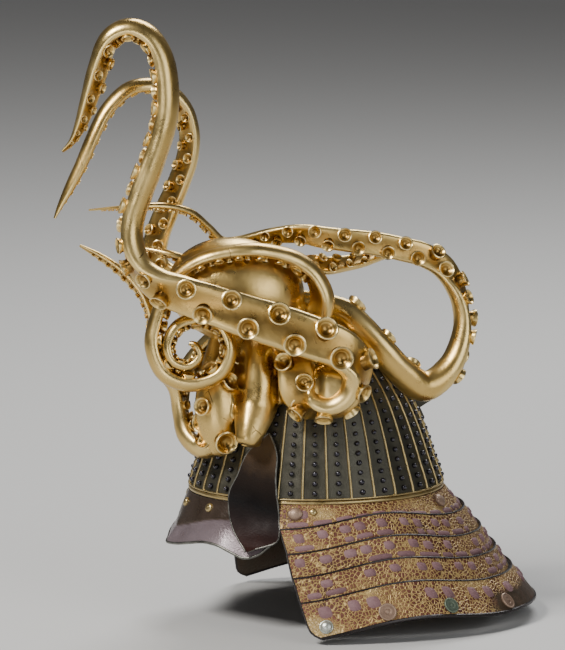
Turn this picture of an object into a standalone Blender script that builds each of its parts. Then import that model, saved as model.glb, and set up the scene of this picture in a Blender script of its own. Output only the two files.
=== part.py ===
"""Samurai helmet: a ribbed iron bowl with a visor, turned-back ears and a laced
neck guard of five hoop plates, and a gilded octopus that rides on the bowl.

Metres, +Z up. The front is -Y and the wearer's left is +X.
The origin is the middle of the head opening, at the foot of the bowl.
"""

import math

import bmesh
import bpy
from mathutils import Vector

# Bowl
BOWL_HALF_LENGTH = 0.117
BOWL_HALF_WIDTH = 0.103
BOWL_HEIGHT = 0.150
BOWL_WALL = 0.0026
PLATE_COUNT = 32
FIRST_RIB_DEG = 5.6
RIB_LIFT = 0.0020
RIB_WIDTH = 0.0024
BEAD_RADIUS = 0.0026
BEAD_SIDES = 6
FIT_GAP = 0.0003

# Visor
VISOR_REACH = 0.0223
VISOR_DROP = 0.0527
VISOR_WALL = 0.0022
VISOR_TOP_REACH = 0.0003
VISOR_TOP_DROP = 0.0056
VISOR_RIVET_DEG = 25.0
VISOR_RIVET_RADIUS = 0.0042
VISOR_RIVET_HEIGHT = 0.0026

# Turned-back ears
EAR_HEIGHT = 0.105
EAR_FORWARD_SHARE = 0.687
EAR_STAND_SHARE = 1.228
EAR_WALL = 0.0020
EAR_FOOT = -0.046

# Neck guard
GUARD_DROP = 0.1079
GUARD_SPREAD = 0.084
GUARD_TOP_REACH = 0.0004
GUARD_TOP_DROP = 0.0054
SHOULDER_RISE = 0.0165
SHOULDER_DEG = 106.0
SHOULDER_SWEEP_DEG = 25.0
SHOULDER_TOP_POWER = 0.15
FRONT_DROP_SHARE = 1.15
LAME_WALL = 0.0020
LAME_STEP = 0.0032
LAME_OVERLAP = 0.2
LAME_STATIONS = 29
FRONT_SPREAD_SHARE = 0.78
REAR_DEG = 150.0

# Bosses, discs and bracket
BOSS_RADIUS = 0.0064
BOSS_HEIGHT = 0.0042
DISC_HEIGHT = 0.0022
DISC_LEVEL = 4.72
SEAT_STEP = 0.1
SEAT_GAP = 0.0005
BRACKET_WIDTH = 0.008
BRACKET_HEIGHT = 0.024
BRACKET_WALL = 0.003
BRACKET_PEG_LENGTH = 0.012
BRACKET_RISE = 0.066

# Octopus: the crest is laid out on the plane of its display side
CREST_SPAN = 0.4605
CREST_TURN_DEG = 78.0
CREST_LEAN_DEG = 9.4
MANTLE_LENGTH = 0.127
MANTLE_HEIGHT = 0.096
MANTLE_DEPTH = 0.088
HEAD_LENGTH = 0.094
HEAD_HEIGHT = 0.092
HEAD_DEPTH = 0.070
LOBE_LENGTH = 0.080
LOBE_HEIGHT = 0.074
LOBE_DEPTH = 0.060
CUP_MIN_HALF_WIDTH = 0.0150
CUP_PITCH = 1.10
CUP_SIDE_SHIFT = 0.46
CUP_FOOT = 0.31
CUP_MOUTH = 0.40
CUP_HEIGHT = 0.26
CUP_SIDES = 6

# Outer face of the bowl: share of the height, share of the half-length
BOWL_PROFILE = (
    ("rise", "reach"),
    (0.00, 1.000),
    (0.17, 0.930),
    (0.36, 0.845),
    (0.54, 0.740),
    (0.71, 0.590),
    (0.86, 0.400),
    (0.96, 0.200),
)

# Visor edge: degrees from the front, share of the reach, share of the drop
VISOR_EDGE = (
    ("turn", "reach", "drop"),
    (0.0, 1.00, 0.97),
    (9.0, 0.90, 0.94),
    (20.0, 0.85, 0.86),
    (29.0, 0.84, 0.80),
    (37.0, 0.84, 0.82),
    (43.0, 0.82, 0.91),
    (49.5, 0.79, 1.00),
    (55.5, 0.72, 0.93),
    (60.0, 0.60, 0.78),
)

# Visor section from the bowl to the edge, as shares of the edge's own sizes
VISOR_SECTION = (
    ("reach", "drop"),
    (0.00, 0.00),
    (0.32, 0.36),
    (0.56, 0.64),
    (1.00, 1.00),
)

# Ear: share of its height, then shares of the bowl's spans forward and outward
EAR_ROWS = (
    ("rise", "rim", "root", "rim_out", "root_out"),
    (0.000, 0.810, 0.775, 0.890, 0.890),
    (0.076, 0.875, 0.480, 0.840, 0.925),
    (0.160, 0.940, 0.422, 0.792, 0.918),
    (0.270, 0.985, 0.426, 0.740, 0.870),
    (0.380, 1.000, 0.436, 0.704, 0.842),
    (0.486, 0.990, 0.455, 0.678, 0.832),
    (0.630, 0.900, 0.465, 0.676, 0.802),
    (0.820, 0.790, 0.450, 0.652, 0.750),
    (1.000, 0.590, 0.500, 0.656, 0.674),
)

# Neck guard edges, top to bottom: share of the drop, share of the spread, front end
GUARD_EDGES = (
    ("drop", "spread", "front"),
    (0.000, 0.00, 62.5),
    (0.208, 0.20, 64.5),
    (0.384, 0.38, 69.0),
    (0.566, 0.54, 71.3),
    (0.735, 0.70, 74.1),
    (1.000, 1.00, 78.0),
)

# Discs on the hem: degrees from the front, radius
HEM_DISCS = (
    ("turn", "radius"),
    (81.8, 0.0066),
    (99.5, 0.0084),
    (119.5, 0.0076),
    (143.0, 0.0080),
)

# Bosses on the top lame: degrees from the front, level on the guard, radius share
TOP_BOSSES = (
    ("turn", "level", "size"),
    (70.3, 0.34, 1.00),
    (78.0, 0.28, 0.56),
    (144.8, 0.34, 1.00),
)

# Arms: shares of CREST_SPAN across, up and out of the display plane, half width,
# and the turn of the sucker face in degrees (0 to the viewer, 90 to the left of travel)
ARM_COLUMNS = ("across", "rise", "out", "half", "turn")
ARM_HALF = ARM_COLUMNS.index("half")
ARM_TURN = ARM_COLUMNS.index("turn")

ARM_RISER = (
    (-0.056, 0.272, 0.208, 0.038, 0),
    (-0.040, 0.226, 0.232, 0.038, 0),
    (-0.036, 0.182, 0.240, 0.037, -20),
    (-0.012, 0.152, 0.244, 0.036, -60),
    (0.032, 0.148, 0.250, 0.036, -90),
    (0.070, 0.174, 0.256, 0.037, -85),
    (0.082, 0.220, 0.268, 0.040, -60),
    (0.050, 0.262, 0.284, 0.043, -20),
    (-0.012, 0.288, 0.294, 0.044, 0),
    (-0.082, 0.312, 0.302, 0.044, 0),
    (-0.152, 0.334, 0.306, 0.042, 0),
    (-0.216, 0.356, 0.304, 0.040, 8),
    (-0.268, 0.374, 0.300, 0.039, 25),
    (-0.316, 0.394, 0.296, 0.038, 50),
    (-0.352, 0.426, 0.292, 0.036, 75),
    (-0.368, 0.472, 0.290, 0.035, 95),
    (-0.366, 0.522, 0.290, 0.034, 100),
    (-0.348, 0.578, 0.294, 0.034, 100),
    (-0.320, 0.652, 0.298, 0.034, 100),
    (-0.300, 0.724, 0.302, 0.034, 100),
    (-0.298, 0.784, 0.306, 0.034, 98),
    (-0.308, 0.842, 0.310, 0.032, 95),
    (-0.332, 0.882, 0.312, 0.030, 92),
    (-0.366, 0.898, 0.312, 0.029, 90),
    (-0.398, 0.888, 0.310, 0.028, 80),
    (-0.418, 0.862, 0.306, 0.027, 65),
    (-0.432, 0.822, 0.300, 0.025, 55),
    (-0.448, 0.768, 0.294, 0.021, 50),
    (-0.466, 0.712, 0.288, 0.015, 50),
    (-0.484, 0.676, 0.284, 0.008, 50),
    (-0.504, 0.656, 0.282, 0.003, 50),
)

ARM_SPIRAL = (
    (0.000, 0.318, 0.184, 0.032, 40),
    (0.012, 0.362, 0.196, 0.030, 60),
    (-0.004, 0.406, 0.202, 0.027, 75),
    (-0.032, 0.434, 0.208, 0.024, 90),
    (-0.072, 0.450, 0.222, 0.022, 90),
    (-0.132, 0.458, 0.248, 0.020, 90),
    (-0.202, 0.448, 0.252, 0.018, 90),
    (-0.252, 0.426, 0.240, 0.018, 90),
    (-0.294, 0.388, 0.226, 0.018, 90),
    (-0.310, 0.340, 0.224, 0.018, 90),
    (-0.324, 0.276, 0.226, 0.018, 90),
    (-0.302, 0.218, 0.228, 0.018, 90),
    (-0.252, 0.196, 0.230, 0.017, 90),
    (-0.196, 0.212, 0.232, 0.016, 90),
    (-0.172, 0.258, 0.234, 0.015, 90),
    (-0.184, 0.302, 0.236, 0.014, 90),
    (-0.224, 0.322, 0.238, 0.013, 90),
    (-0.272, 0.312, 0.240, 0.012, 90),
    (-0.294, 0.274, 0.242, 0.011, 90),
    (-0.284, 0.240, 0.244, 0.010, 90),
    (-0.254, 0.230, 0.246, 0.009, 90),
    (-0.232, 0.250, 0.248, 0.008, 90),
    (-0.240, 0.272, 0.250, 0.006, 90),
    (-0.252, 0.276, 0.250, 0.003, 90),
)

ARM_LOOP = (
    (-0.040, 0.356, 0.116, 0.034, 120),
    (0.048, 0.338, 0.126, 0.034, 125),
    (0.092, 0.302, 0.136, 0.033, 130),
    (0.132, 0.258, 0.136, 0.032, 135),
    (0.172, 0.216, 0.124, 0.031, 150),
    (0.218, 0.190, 0.104, 0.030, 180),
    (0.268, 0.232, 0.082, 0.029, 230),
    (0.294, 0.302, 0.068, 0.028, 260),
    (0.288, 0.366, 0.060, 0.027, 280),
    (0.258, 0.422, 0.060, 0.026, 320),
    (0.218, 0.450, 0.068, 0.025, 345),
    (0.168, 0.464, 0.078, 0.024, 360),
    (0.118, 0.474, 0.088, 0.024, 360),
    (0.068, 0.480, 0.096, 0.023, 365),
    (0.018, 0.486, 0.098, 0.022, 370),
    (-0.032, 0.494, 0.092, 0.020, 380),
    (-0.092, 0.490, 0.080, 0.017, 395),
    (-0.152, 0.478, 0.074, 0.015, 415),
    (-0.188, 0.478, 0.084, 0.014, 430),
    (-0.216, 0.506, 0.106, 0.012, 440),
    (-0.252, 0.536, 0.134, 0.011, 450),
    (-0.302, 0.548, 0.166, 0.010, 450),
    (-0.372, 0.546, 0.196, 0.007, 450),
    (-0.452, 0.540, 0.208, 0.003, 450),
)

ARM_CURL = (
    (-0.172, 0.278, 0.154, 0.042, 0),
    (-0.184, 0.214, 0.162, 0.046, 0),
    (-0.196, 0.150, 0.162, 0.045, -5),
    (-0.198, 0.098, 0.158, 0.040, -40),
    (-0.224, 0.072, 0.146, 0.034, -75),
    (-0.256, 0.094, 0.130, 0.028, -85),
    (-0.268, 0.140, 0.122, 0.025, -80),
    (-0.278, 0.186, 0.130, 0.022, -75),
    (-0.304, 0.224, 0.150, 0.020, -60),
    (-0.322, 0.278, 0.168, 0.017, 60),
    (-0.330, 0.330, 0.182, 0.014, 80),
    (-0.350, 0.376, 0.188, 0.013, 70),
    (-0.388, 0.418, 0.192, 0.012, 60),
    (-0.430, 0.448, 0.196, 0.009, 60),
    (-0.470, 0.470, 0.200, 0.003, 60),
)

ARM_REAR = (
    (-0.222, 0.392, 0.124, 0.026, 20),
    (-0.288, 0.406, 0.092, 0.026, 20),
    (-0.320, 0.438, 0.084, 0.026, 25),
    (-0.318, 0.482, 0.088, 0.026, 30),
    (-0.300, 0.532, 0.096, 0.026, 35),
    (-0.272, 0.598, 0.108, 0.025, 40),
    (-0.256, 0.646, 0.116, 0.024, 40),
    (-0.252, 0.694, 0.124, 0.023, 45),
    (-0.264, 0.742, 0.136, 0.022, 55),
    (-0.296, 0.778, 0.152, 0.021, 80),
    (-0.336, 0.788, 0.168, 0.020, 105),
    (-0.376, 0.778, 0.180, 0.020, 110),
    (-0.416, 0.738, 0.190, 0.019, 112),
    (-0.442, 0.688, 0.196, 0.018, 112),
    (-0.464, 0.636, 0.198, 0.017, 112),
    (-0.488, 0.588, 0.198, 0.014, 112),
    (-0.508, 0.550, 0.196, 0.008, 112),
    (-0.520, 0.524, 0.194, 0.003, 112),
)

ARM_INNER = (
    (-0.070, 0.410, 0.140, 0.020, 0),
    (-0.012, 0.432, 0.112, 0.020, 20),
    (0.028, 0.430, 0.078, 0.019, 30),
    (0.088, 0.440, 0.040, 0.016, 40),
    (0.150, 0.456, 0.010, 0.012, 60),
    (0.204, 0.444, -0.006, 0.003, 60),
)

ARM_TIP = (
    (-0.210, 0.424, 0.150, 0.013, 60),
    (-0.272, 0.446, 0.160, 0.012, 75),
    (-0.312, 0.458, 0.154, 0.009, 80),
    (-0.352, 0.466, 0.144, 0.003, 80),
)

ARM_FAR = (
    (-0.140, 0.320, 0.110, 0.028, 60),
    (-0.200, 0.284, 0.056, 0.027, 60),
    (-0.256, 0.222, 0.036, 0.024, 60),
    (-0.270, 0.150, 0.046, 0.020, 60),
    (-0.256, 0.092, 0.068, 0.014, 60),
    (-0.240, 0.052, 0.096, 0.004, 60),
)

# Front web that hangs from the head, with the same columns
WEB = (
    (-0.112, 0.268, 0.172, 0.050, 180),
    (-0.114, 0.212, 0.178, 0.050, 180),
    (-0.118, 0.160, 0.200, 0.045, 180),
    (-0.130, 0.110, 0.230, 0.034, 180),
    (-0.142, 0.074, 0.246, 0.020, 180),
)

# Middles of the mantle and the head: shares of CREST_SPAN
MANTLE_PLACE = (-0.160, 0.382, 0.158)
HEAD_PLACE = (-0.084, 0.276, 0.142)
LOBE_PLACE = (0.014, 0.206, 0.158)

# Arm section: across the sucker face and along its outward normal, in half widths
ARM_SECTION = (
    (-0.92, 0.42),
    (0.92, 0.42),
    (1.00, 0.02),
    (0.66, -0.52),
    (0.00, -0.78),
    (-0.66, -0.52),
    (-1.00, 0.02),
)

COLOURS = {
    "iron": ((0.055, 0.055, 0.062, 1.0), 0.9, 0.42),
    "brass": ((0.62, 0.44, 0.16, 1.0), 1.0, 0.30),
    "lacquer": ((0.085, 0.055, 0.060, 1.0), 0.3, 0.30),
    "gilt_leather": ((0.36, 0.24, 0.15, 1.0), 0.4, 0.55),
    "gold_leaf": ((0.80, 0.56, 0.21, 1.0), 1.0, 0.28),
    "disc_metal": ((0.30, 0.28, 0.24, 1.0), 0.8, 0.45),
}


def clear_scene():
    """Remove whatever the file holds."""
    for item in list(bpy.data.objects):
        bpy.data.objects.remove(item, do_unlink=True)


def material(slot):
    """The plain finish of one slot."""
    found = bpy.data.materials.get(slot)
    if found:
        return found
    colour, metallic, roughness = COLOURS[slot]
    made = bpy.data.materials.new(slot)
    made.use_nodes = True
    shader = made.node_tree.nodes["Principled BSDF"]
    shader.inputs["Base Color"].default_value = colour
    shader.inputs["Metallic"].default_value = metallic
    shader.inputs["Roughness"].default_value = roughness
    return made


def add_object(name, verts, faces, slot, sharp_deg=40.0):
    """One closed body with outward faces."""
    mesh = bpy.data.meshes.new(name)
    mesh.from_pydata([tuple(v) for v in verts], [], faces)
    shell = bmesh.new()
    shell.from_mesh(mesh)
    bmesh.ops.recalc_face_normals(shell, faces=shell.faces)
    shell.to_mesh(mesh)
    shell.free()
    mesh.shade_smooth()
    mesh.set_sharp_from_angle(angle=math.radians(sharp_deg))
    made = bpy.data.objects.new(name, mesh)
    made.data.materials.append(material(slot))
    bpy.context.scene.collection.objects.link(made)
    return made


def add_cutter(name, verts, faces):
    """A guide body that only cuts."""
    made = add_object(name, verts, faces, "iron")
    made.hide_render = True
    made.display_type = "WIRE"
    return made


def combine(target, other, operation):
    """Add a Boolean to the target."""
    step = target.modifiers.new(operation.lower() + "_" + other.name, "BOOLEAN")
    step.operation = operation
    step.object = other


def rows_of(table):
    """The rows of a table whose first row names its columns."""
    names = table[0]
    return [dict(zip(names, row)) for row in table[1:]]


def read_between(rows, key, value, wanted):
    """Straight-line reading of a column between two rows."""
    for low, high in zip(rows, rows[1:]):
        if value <= high[key]:
            break
    part = (value - low[key]) / (high[key] - low[key])
    part = min(max(part, 0.0), 1.0)
    return low[wanted] + part * (high[wanted] - low[wanted])


def ring_point(turn_deg, grow, height):
    """A point round the oval of the bowl, turned from the front to the wearer's left."""
    turn = math.radians(turn_deg)
    along = BOWL_HALF_LENGTH + grow
    wide = BOWL_HALF_WIDTH + grow
    return Vector((wide * math.sin(turn), -along * math.cos(turn), height))


def ring_normal(turn_deg):
    """The level outward direction of the oval."""
    turn = math.radians(turn_deg)
    level = Vector((math.sin(turn) / BOWL_HALF_WIDTH, -math.cos(turn) / BOWL_HALF_LENGTH, 0.0))
    return level.normalized()


def bowl_point(turn_deg, index, lift):
    """A point of the bowl's outer face on one profile row, lifted along the normal."""
    rows = rows_of(BOWL_PROFILE)
    row = rows[index]
    below = rows[max(index - 1, 0)]
    above = rows[min(index + 1, len(rows) - 1)]
    turn = math.radians(turn_deg)
    run = (below["reach"] - above["reach"]) * (BOWL_HALF_LENGTH + BOWL_HALF_WIDTH) / 2
    climb = (above["rise"] - below["rise"]) * BOWL_HEIGHT
    normal = (ring_normal(turn_deg) * climb + Vector((0.0, 0.0, run))).normalized()
    foot = Vector((
        BOWL_HALF_WIDTH * row["reach"] * math.sin(turn),
        -BOWL_HALF_LENGTH * row["reach"] * math.cos(turn),
        BOWL_HEIGHT * row["rise"],
    ))
    if index == 0:
        normal = ring_normal(turn_deg)
    return foot + normal * lift


def rib_turns():
    """The turn of each rib from the front."""
    step = 360.0 / PLATE_COUNT
    return [FIRST_RIB_DEG + step * k for k in range(PLATE_COUNT)]


def make_bowl():
    """The ribbed bowl, open below: outer ribbed face, inner plain face and rim."""
    row_count = len(BOWL_PROFILE) - 1
    verts = []
    outer = []
    inner = []
    for index in range(row_count):
        reach = BOWL_PROFILE[index + 1][1]
        foot_deg = math.degrees(RIB_WIDTH / 2 / (BOWL_HALF_LENGTH * reach))
        fade = 1.0 if index < row_count - 1 else 0.5
        ring = []
        for turn in rib_turns():
            for shift, lift in ((-foot_deg, 0.0), (0.0, RIB_LIFT * fade), (foot_deg, 0.0)):
                ring.append(len(verts))
                verts.append(bowl_point(turn + shift, index, lift))
        outer.append(ring)
        ring = []
        for turn in rib_turns():
            ring.append(len(verts))
            verts.append(bowl_point(turn, index, -BOWL_WALL))
        inner.append(ring)
    faces = grid_faces(outer, True) + grid_faces(inner, True)
    crown = len(verts)
    verts.append(Vector((0.0, 0.0, BOWL_HEIGHT)))
    verts.append(Vector((0.0, 0.0, BOWL_HEIGHT - BOWL_WALL)))
    for ring, top in ((outer[-1], crown), (inner[-1], crown + 1)):
        for a, b in zip(ring, ring[1:] + ring[:1]):
            faces.append((a, b, top))
    foot = outer[0]
    for k in range(PLATE_COUNT):
        here = 3 * k
        after = (here + 3) % len(foot)
        faces.append((
            foot[here + 1], foot[here + 2], foot[after], foot[after + 1],
            inner[0][(k + 1) % PLATE_COUNT], inner[0][k],
        ))
    add_object("bowl_plates", verts, faces, "iron", 25.0)


def grid_faces(rings, closed):
    """Quads between neighbouring rows of vertex numbers."""
    faces = []
    for low, high in zip(rings, rings[1:]):
        count = len(low)
        last = count if closed else count - 1
        for k in range(last):
            after = (k + 1) % count
            faces.append((low[k], low[after], high[after], high[k]))
    return faces


def make_sheet(name, front, back, slot):
    """A thin plate between two like grids of points."""
    rows = len(front)
    columns = len(front[0])
    verts = [p for row in front for p in row] + [p for row in back for p in row]
    shift = rows * columns
    index = [[r * columns + c for c in range(columns)] for r in range(rows)]
    faces = grid_faces(index, False)
    faces += [tuple(v + shift for v in face) for face in faces]
    loop = index[0] + [row[-1] for row in index[1:]]
    loop += index[-1][-2::-1] + [row[0] for row in index[-2:0:-1]]
    for a, b in zip(loop, loop[1:] + loop[:1]):
        faces.append((a, b, b + shift, a + shift))
    return add_object(name, verts, faces, slot, 35.0)


def make_base_ring():
    """The bead round the foot of the bowl."""
    rings = []
    verts = []
    steps = PLATE_COUNT + PLATE_COUNT // 4
    for k in range(steps):
        turn = 360.0 * k / steps
        middle = ring_point(turn, -BOWL_WALL / 2, -BEAD_RADIUS - FIT_GAP)
        ring = []
        for side in range(BEAD_SIDES):
            angle = 2 * math.pi * (side + 0.5) / BEAD_SIDES
            ring.append(len(verts))
            spread = ring_normal(turn) * math.cos(angle) * BEAD_RADIUS
            verts.append(middle + spread + Vector((0.0, 0.0, math.sin(angle) * BEAD_RADIUS)))
        rings.append(ring)
    add_object("base_ring", verts, grid_faces(rings + rings[:1], True), "brass", 60.0)


def visor_point(turn_deg, section, lift):
    """A point of the visor, lifted towards the outside."""
    rows = rows_of(VISOR_EDGE)
    reach = read_between(rows, "turn", abs(turn_deg), "reach") * VISOR_REACH
    drop = read_between(rows, "turn", abs(turn_deg), "drop") * VISOR_DROP
    slope = (ring_normal(turn_deg) * drop + Vector((0.0, 0.0, reach))).normalized()
    out = VISOR_TOP_REACH + section["reach"] * (reach - VISOR_TOP_REACH)
    down = VISOR_TOP_DROP + section["drop"] * (drop - VISOR_TOP_DROP)
    return ring_point(turn_deg, out, -down) + slope * lift


def make_visor():
    """The brow plate with its beak."""
    turns = [row["turn"] for row in rows_of(VISOR_EDGE)]
    turns = [-turn for turn in turns[:0:-1]] + turns
    section = rows_of(VISOR_SECTION)
    outer = [[visor_point(turn, part, 0.0) for part in section] for turn in turns]
    inner = [[visor_point(turn, part, -VISOR_WALL) for part in section] for turn in turns]
    make_sheet("visor", outer, inner, "lacquer")


def guard_edge(level):
    """Drop share, spread share and front end at a level of the neck guard."""
    rows = rows_of(GUARD_EDGES)
    low = min(int(level), len(rows) - 2)
    part = level - low
    found = {}
    for key in ("drop", "spread", "front"):
        found[key] = rows[low][key] + part * (rows[low + 1][key] - rows[low][key])
    return found


def guard_point(turn_deg, level, lift):
    """A point of the neck guard's outer face."""
    edge = guard_edge(level)
    turn = abs(turn_deg)
    swing = (turn - SHOULDER_DEG) / SHOULDER_SWEEP_DEG
    raised = SHOULDER_RISE * edge["drop"] ** SHOULDER_TOP_POWER * math.exp(-swing * swing)
    to_rear = min(max((turn - edge["front"]) / (REAR_DEG - edge["front"]), 0.0), 1.0)
    spread = GUARD_SPREAD * edge["spread"]
    spread *= FRONT_SPREAD_SHARE + (1.0 - FRONT_SPREAD_SHARE) * to_rear
    fall = (GUARD_DROP - GUARD_TOP_DROP) * edge["drop"]
    fall *= FRONT_DROP_SHARE + (1.0 - FRONT_DROP_SHARE) * to_rear
    drop = GUARD_TOP_DROP + fall - raised
    slope = (ring_normal(turn_deg) * GUARD_DROP + Vector((0.0, 0.0, GUARD_SPREAD))).normalized()
    return ring_point(turn_deg, GUARD_TOP_REACH + spread, -drop) + slope * lift


def make_lame(number):
    """One hoop plate, lapped over the one above."""
    overlap = 0.0 if number == 1 else LAME_OVERLAP
    top = number - 1 - overlap
    front = []
    back = []
    for k in range(LAME_STATIONS):
        pair = []
        for level, step in ((top, LAME_STEP), (float(number), 0.0)):
            start = guard_edge(level)["front"]
            turn = start + (360.0 - 2 * start) * k / (LAME_STATIONS - 1)
            if turn > 180.0:
                turn -= 360.0
            if number == 1:
                step = 0.0
            pair.append((turn, level, step))
        front.append([guard_point(turn, level, step + LAME_WALL) for turn, level, step in pair])
        back.append([guard_point(turn, level, step) for turn, level, step in pair])
    make_sheet("lame_%d" % number, front, back, "gilt_leather")


def make_stud(name, seat, normal, radius, height, slot, sides=10):
    """A domed head on its seat."""
    side = normal.orthogonal().normalized()
    up = normal.cross(side)
    levels = ((1.0, 0.0), (1.0, 0.35), (0.62, 0.85))
    verts = []
    rings = []
    for reach, rise in levels:
        ring = []
        for k in range(sides):
            angle = 2 * math.pi * k / sides
            ring.append(len(verts))
            spread = side * math.cos(angle) + up * math.sin(angle)
            verts.append(seat + spread * radius * reach + normal * height * rise)
        rings.append(ring)
    faces = grid_faces(rings, True)
    faces.append(tuple(rings[0][::-1]))
    top = len(verts)
    verts.append(seat + normal * height)
    for a, b in zip(rings[-1], rings[-1][1:] + rings[-1][:1]):
        faces.append((a, b, top))
    return add_object(name, verts, faces, slot, 50.0)


def surface_seat(at, turn_deg, level, reach):
    """The seat and outward normal on the guard's outer face, clear of its facets."""
    middle = at(turn_deg, level)
    along = at(turn_deg + 1.0, level) - at(turn_deg - 1.0, level)
    down = at(turn_deg, level + reach) - at(turn_deg, level - reach)
    normal = along.cross(down).normalized()
    if normal.dot(ring_normal(turn_deg)) < 0:
        normal.negate()
    return middle, normal


def make_guard_trim():
    """The discs on the hem and the bosses on the top lame."""
    lap = 4.0 - LAME_OVERLAP

    def hem(turn, level):
        upper = guard_point(turn, lap, LAME_WALL + LAME_STEP)
        return upper.lerp(guard_point(turn, 5.0, LAME_WALL), (level - lap) / (5.0 - lap))

    def top(turn, level):
        return guard_point(turn, 0.0, LAME_WALL).lerp(guard_point(turn, 1.0, LAME_WALL), level)

    for number, row in enumerate(rows_of(HEM_DISCS), 1):
        for side, sign in (("left", 1), ("right", -1)):
            seat, normal = surface_seat(hem, sign * row["turn"], DISC_LEVEL, SEAT_STEP)
            name = "hem_disc_%s_%d" % (side, number)
            lifted = seat + normal * SEAT_GAP
            make_stud(name, lifted, normal, row["radius"], DISC_HEIGHT, "disc_metal")
    for number, row in enumerate(rows_of(TOP_BOSSES), 1):
        for side, sign in (("left", 1), ("right", -1)):
            seat, normal = surface_seat(top, sign * row["turn"], row["level"], SEAT_STEP)
            name = "lame_boss_%s_%d" % (side, number)
            radius = BOSS_RADIUS * row["size"]
            lifted = seat + normal * SEAT_GAP
            make_stud(name, lifted, normal, radius, BOSS_HEIGHT, "brass")


def make_visor_rivets():
    """The three domed rivets along the top of the visor."""
    first, second = rows_of(VISOR_SECTION)[:2]
    mid = {key: first[key] * 0.35 + second[key] * 0.65 for key in first}
    for number, turn in enumerate((-VISOR_RIVET_DEG, 0.0, VISOR_RIVET_DEG), 1):
        seat = visor_point(turn, mid, 0.0)
        along = visor_point(turn + 1.0, mid, 0.0) - visor_point(turn - 1.0, mid, 0.0)
        down = visor_point(turn, second, 0.0) - visor_point(turn, first, 0.0)
        normal = along.cross(down).normalized()
        if normal.dot(ring_normal(turn)) < 0:
            normal.negate()
        name = "visor_rivet_%d" % number
        lifted = seat + normal * SEAT_GAP
        make_stud(name, lifted, normal, VISOR_RIVET_RADIUS, VISOR_RIVET_HEIGHT, "brass")


def display_axes():
    """Level axes of the display side: across and out."""
    turn = math.radians(CREST_TURN_DEG)
    across = Vector((math.cos(turn), math.sin(turn), 0.0))
    out = Vector((math.sin(turn), -math.cos(turn), 0.0))
    return across, out


def ear_spans():
    """How far the ears reach forward and stand out, from the bowl's foot as the display side sees it."""
    across, out = display_axes()
    ahead = math.hypot(BOWL_HALF_WIDTH * across.x, BOWL_HALF_LENGTH * across.y)
    beside = math.hypot(BOWL_HALF_WIDTH * out.x, BOWL_HALF_LENGTH * out.y)
    return ahead * EAR_FORWARD_SHARE, beside * EAR_STAND_SHARE


def make_ears():
    """The two leaf-shaped plates that turn back beside the visor."""
    across, out = display_axes()
    reach, stand_out = ear_spans()
    for side, sign in (("left", 1.0), ("right", -1.0)):
        front = []
        back = []
        for row in rows_of(EAR_ROWS):
            height = EAR_FOOT + EAR_HEIGHT * row["rise"]
            front_row = []
            back_row = []
            for part in (0.0, 0.5, 1.0):
                forward = row["rim"] + part * (row["root"] - row["rim"])
                stand = row["rim_out"] + part * (row["root_out"] - row["rim_out"])
                point = out * stand_out * stand - across * reach * forward
                point.z = height
                behind = point - out * EAR_WALL
                front_row.append(Vector((point.x * sign, point.y, point.z)))
                back_row.append(Vector((behind.x * sign, behind.y, behind.z)))
            front.append(front_row)
            back.append(back_row)
        make_sheet("turnback_" + side, front, back, "lacquer")


def make_bracket():
    """The small peg bracket at the rear of the bowl."""
    rows = rows_of(BOWL_PROFILE)
    reach = read_between(rows, "rise", BRACKET_RISE / BOWL_HEIGHT, "reach")
    face = BOWL_HALF_LENGTH * reach + 2 * FIT_GAP
    half = BRACKET_WIDTH / 2
    outline = (
        (0.0, 0.0),
        (0.0, BRACKET_WALL),
        (BRACKET_HEIGHT * 0.45, BRACKET_WALL),
        (BRACKET_HEIGHT * 0.50, BRACKET_WALL + BRACKET_PEG_LENGTH),
        (BRACKET_HEIGHT * 0.78, BRACKET_WALL + BRACKET_PEG_LENGTH),
        (BRACKET_HEIGHT * 0.72, BRACKET_WALL),
        (BRACKET_HEIGHT, BRACKET_WALL),
        (BRACKET_HEIGHT, 0.0),
    )
    climb = 0.18 * BOWL_HEIGHT
    run = (rows[2]["reach"] - rows[3]["reach"]) * BOWL_HALF_LENGTH
    up = Vector((0.0, -run, climb)).normalized()
    out = Vector((0.0, up.z, -up.y))
    foot = Vector((0.0, face, BRACKET_RISE)) - up * BRACKET_HEIGHT / 2
    verts = []
    for side in (-half, half):
        for rise, away in outline:
            verts.append(foot + up * rise + out * away + Vector((side, 0.0, 0.0)))
    count = len(outline)
    faces = [tuple(range(count)), tuple(range(2 * count - 1, count - 1, -1))]
    for k in range(count):
        after = (k + 1) % count
        faces.append((k, after, after + count, k + count))
    add_object("rear_bracket", verts, faces, "iron")


def crest_axes():
    """Axes of the crest's display plane: across, up in the plane, and out of it."""
    turn = math.radians(CREST_TURN_DEG)
    lean = math.radians(CREST_LEAN_DEG)
    across = Vector((math.cos(turn), math.sin(turn), 0.0))
    level = Vector((math.sin(turn), -math.cos(turn), 0.0))
    out = level * math.cos(lean) + Vector((0.0, 0.0, math.sin(lean)))
    rise = out.cross(across)
    return across, rise, out


def crest_point(across, rise, out):
    """A place of the crest from its shares of the span."""
    axes = crest_axes()
    return (axes[0] * across + axes[1] * rise + axes[2] * out) * CREST_SPAN


def curve_between(values, part):
    """Smooth reading through four neighbouring values."""
    a, b, c, d = values
    first = 2 * b
    second = (c - a) * part
    third = (2 * a - 5 * b + 4 * c - d) * part ** 2
    fourth = (3 * b - a - 3 * c + d) * part ** 3
    return 0.5 * (first + second + third + fourth)


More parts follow.
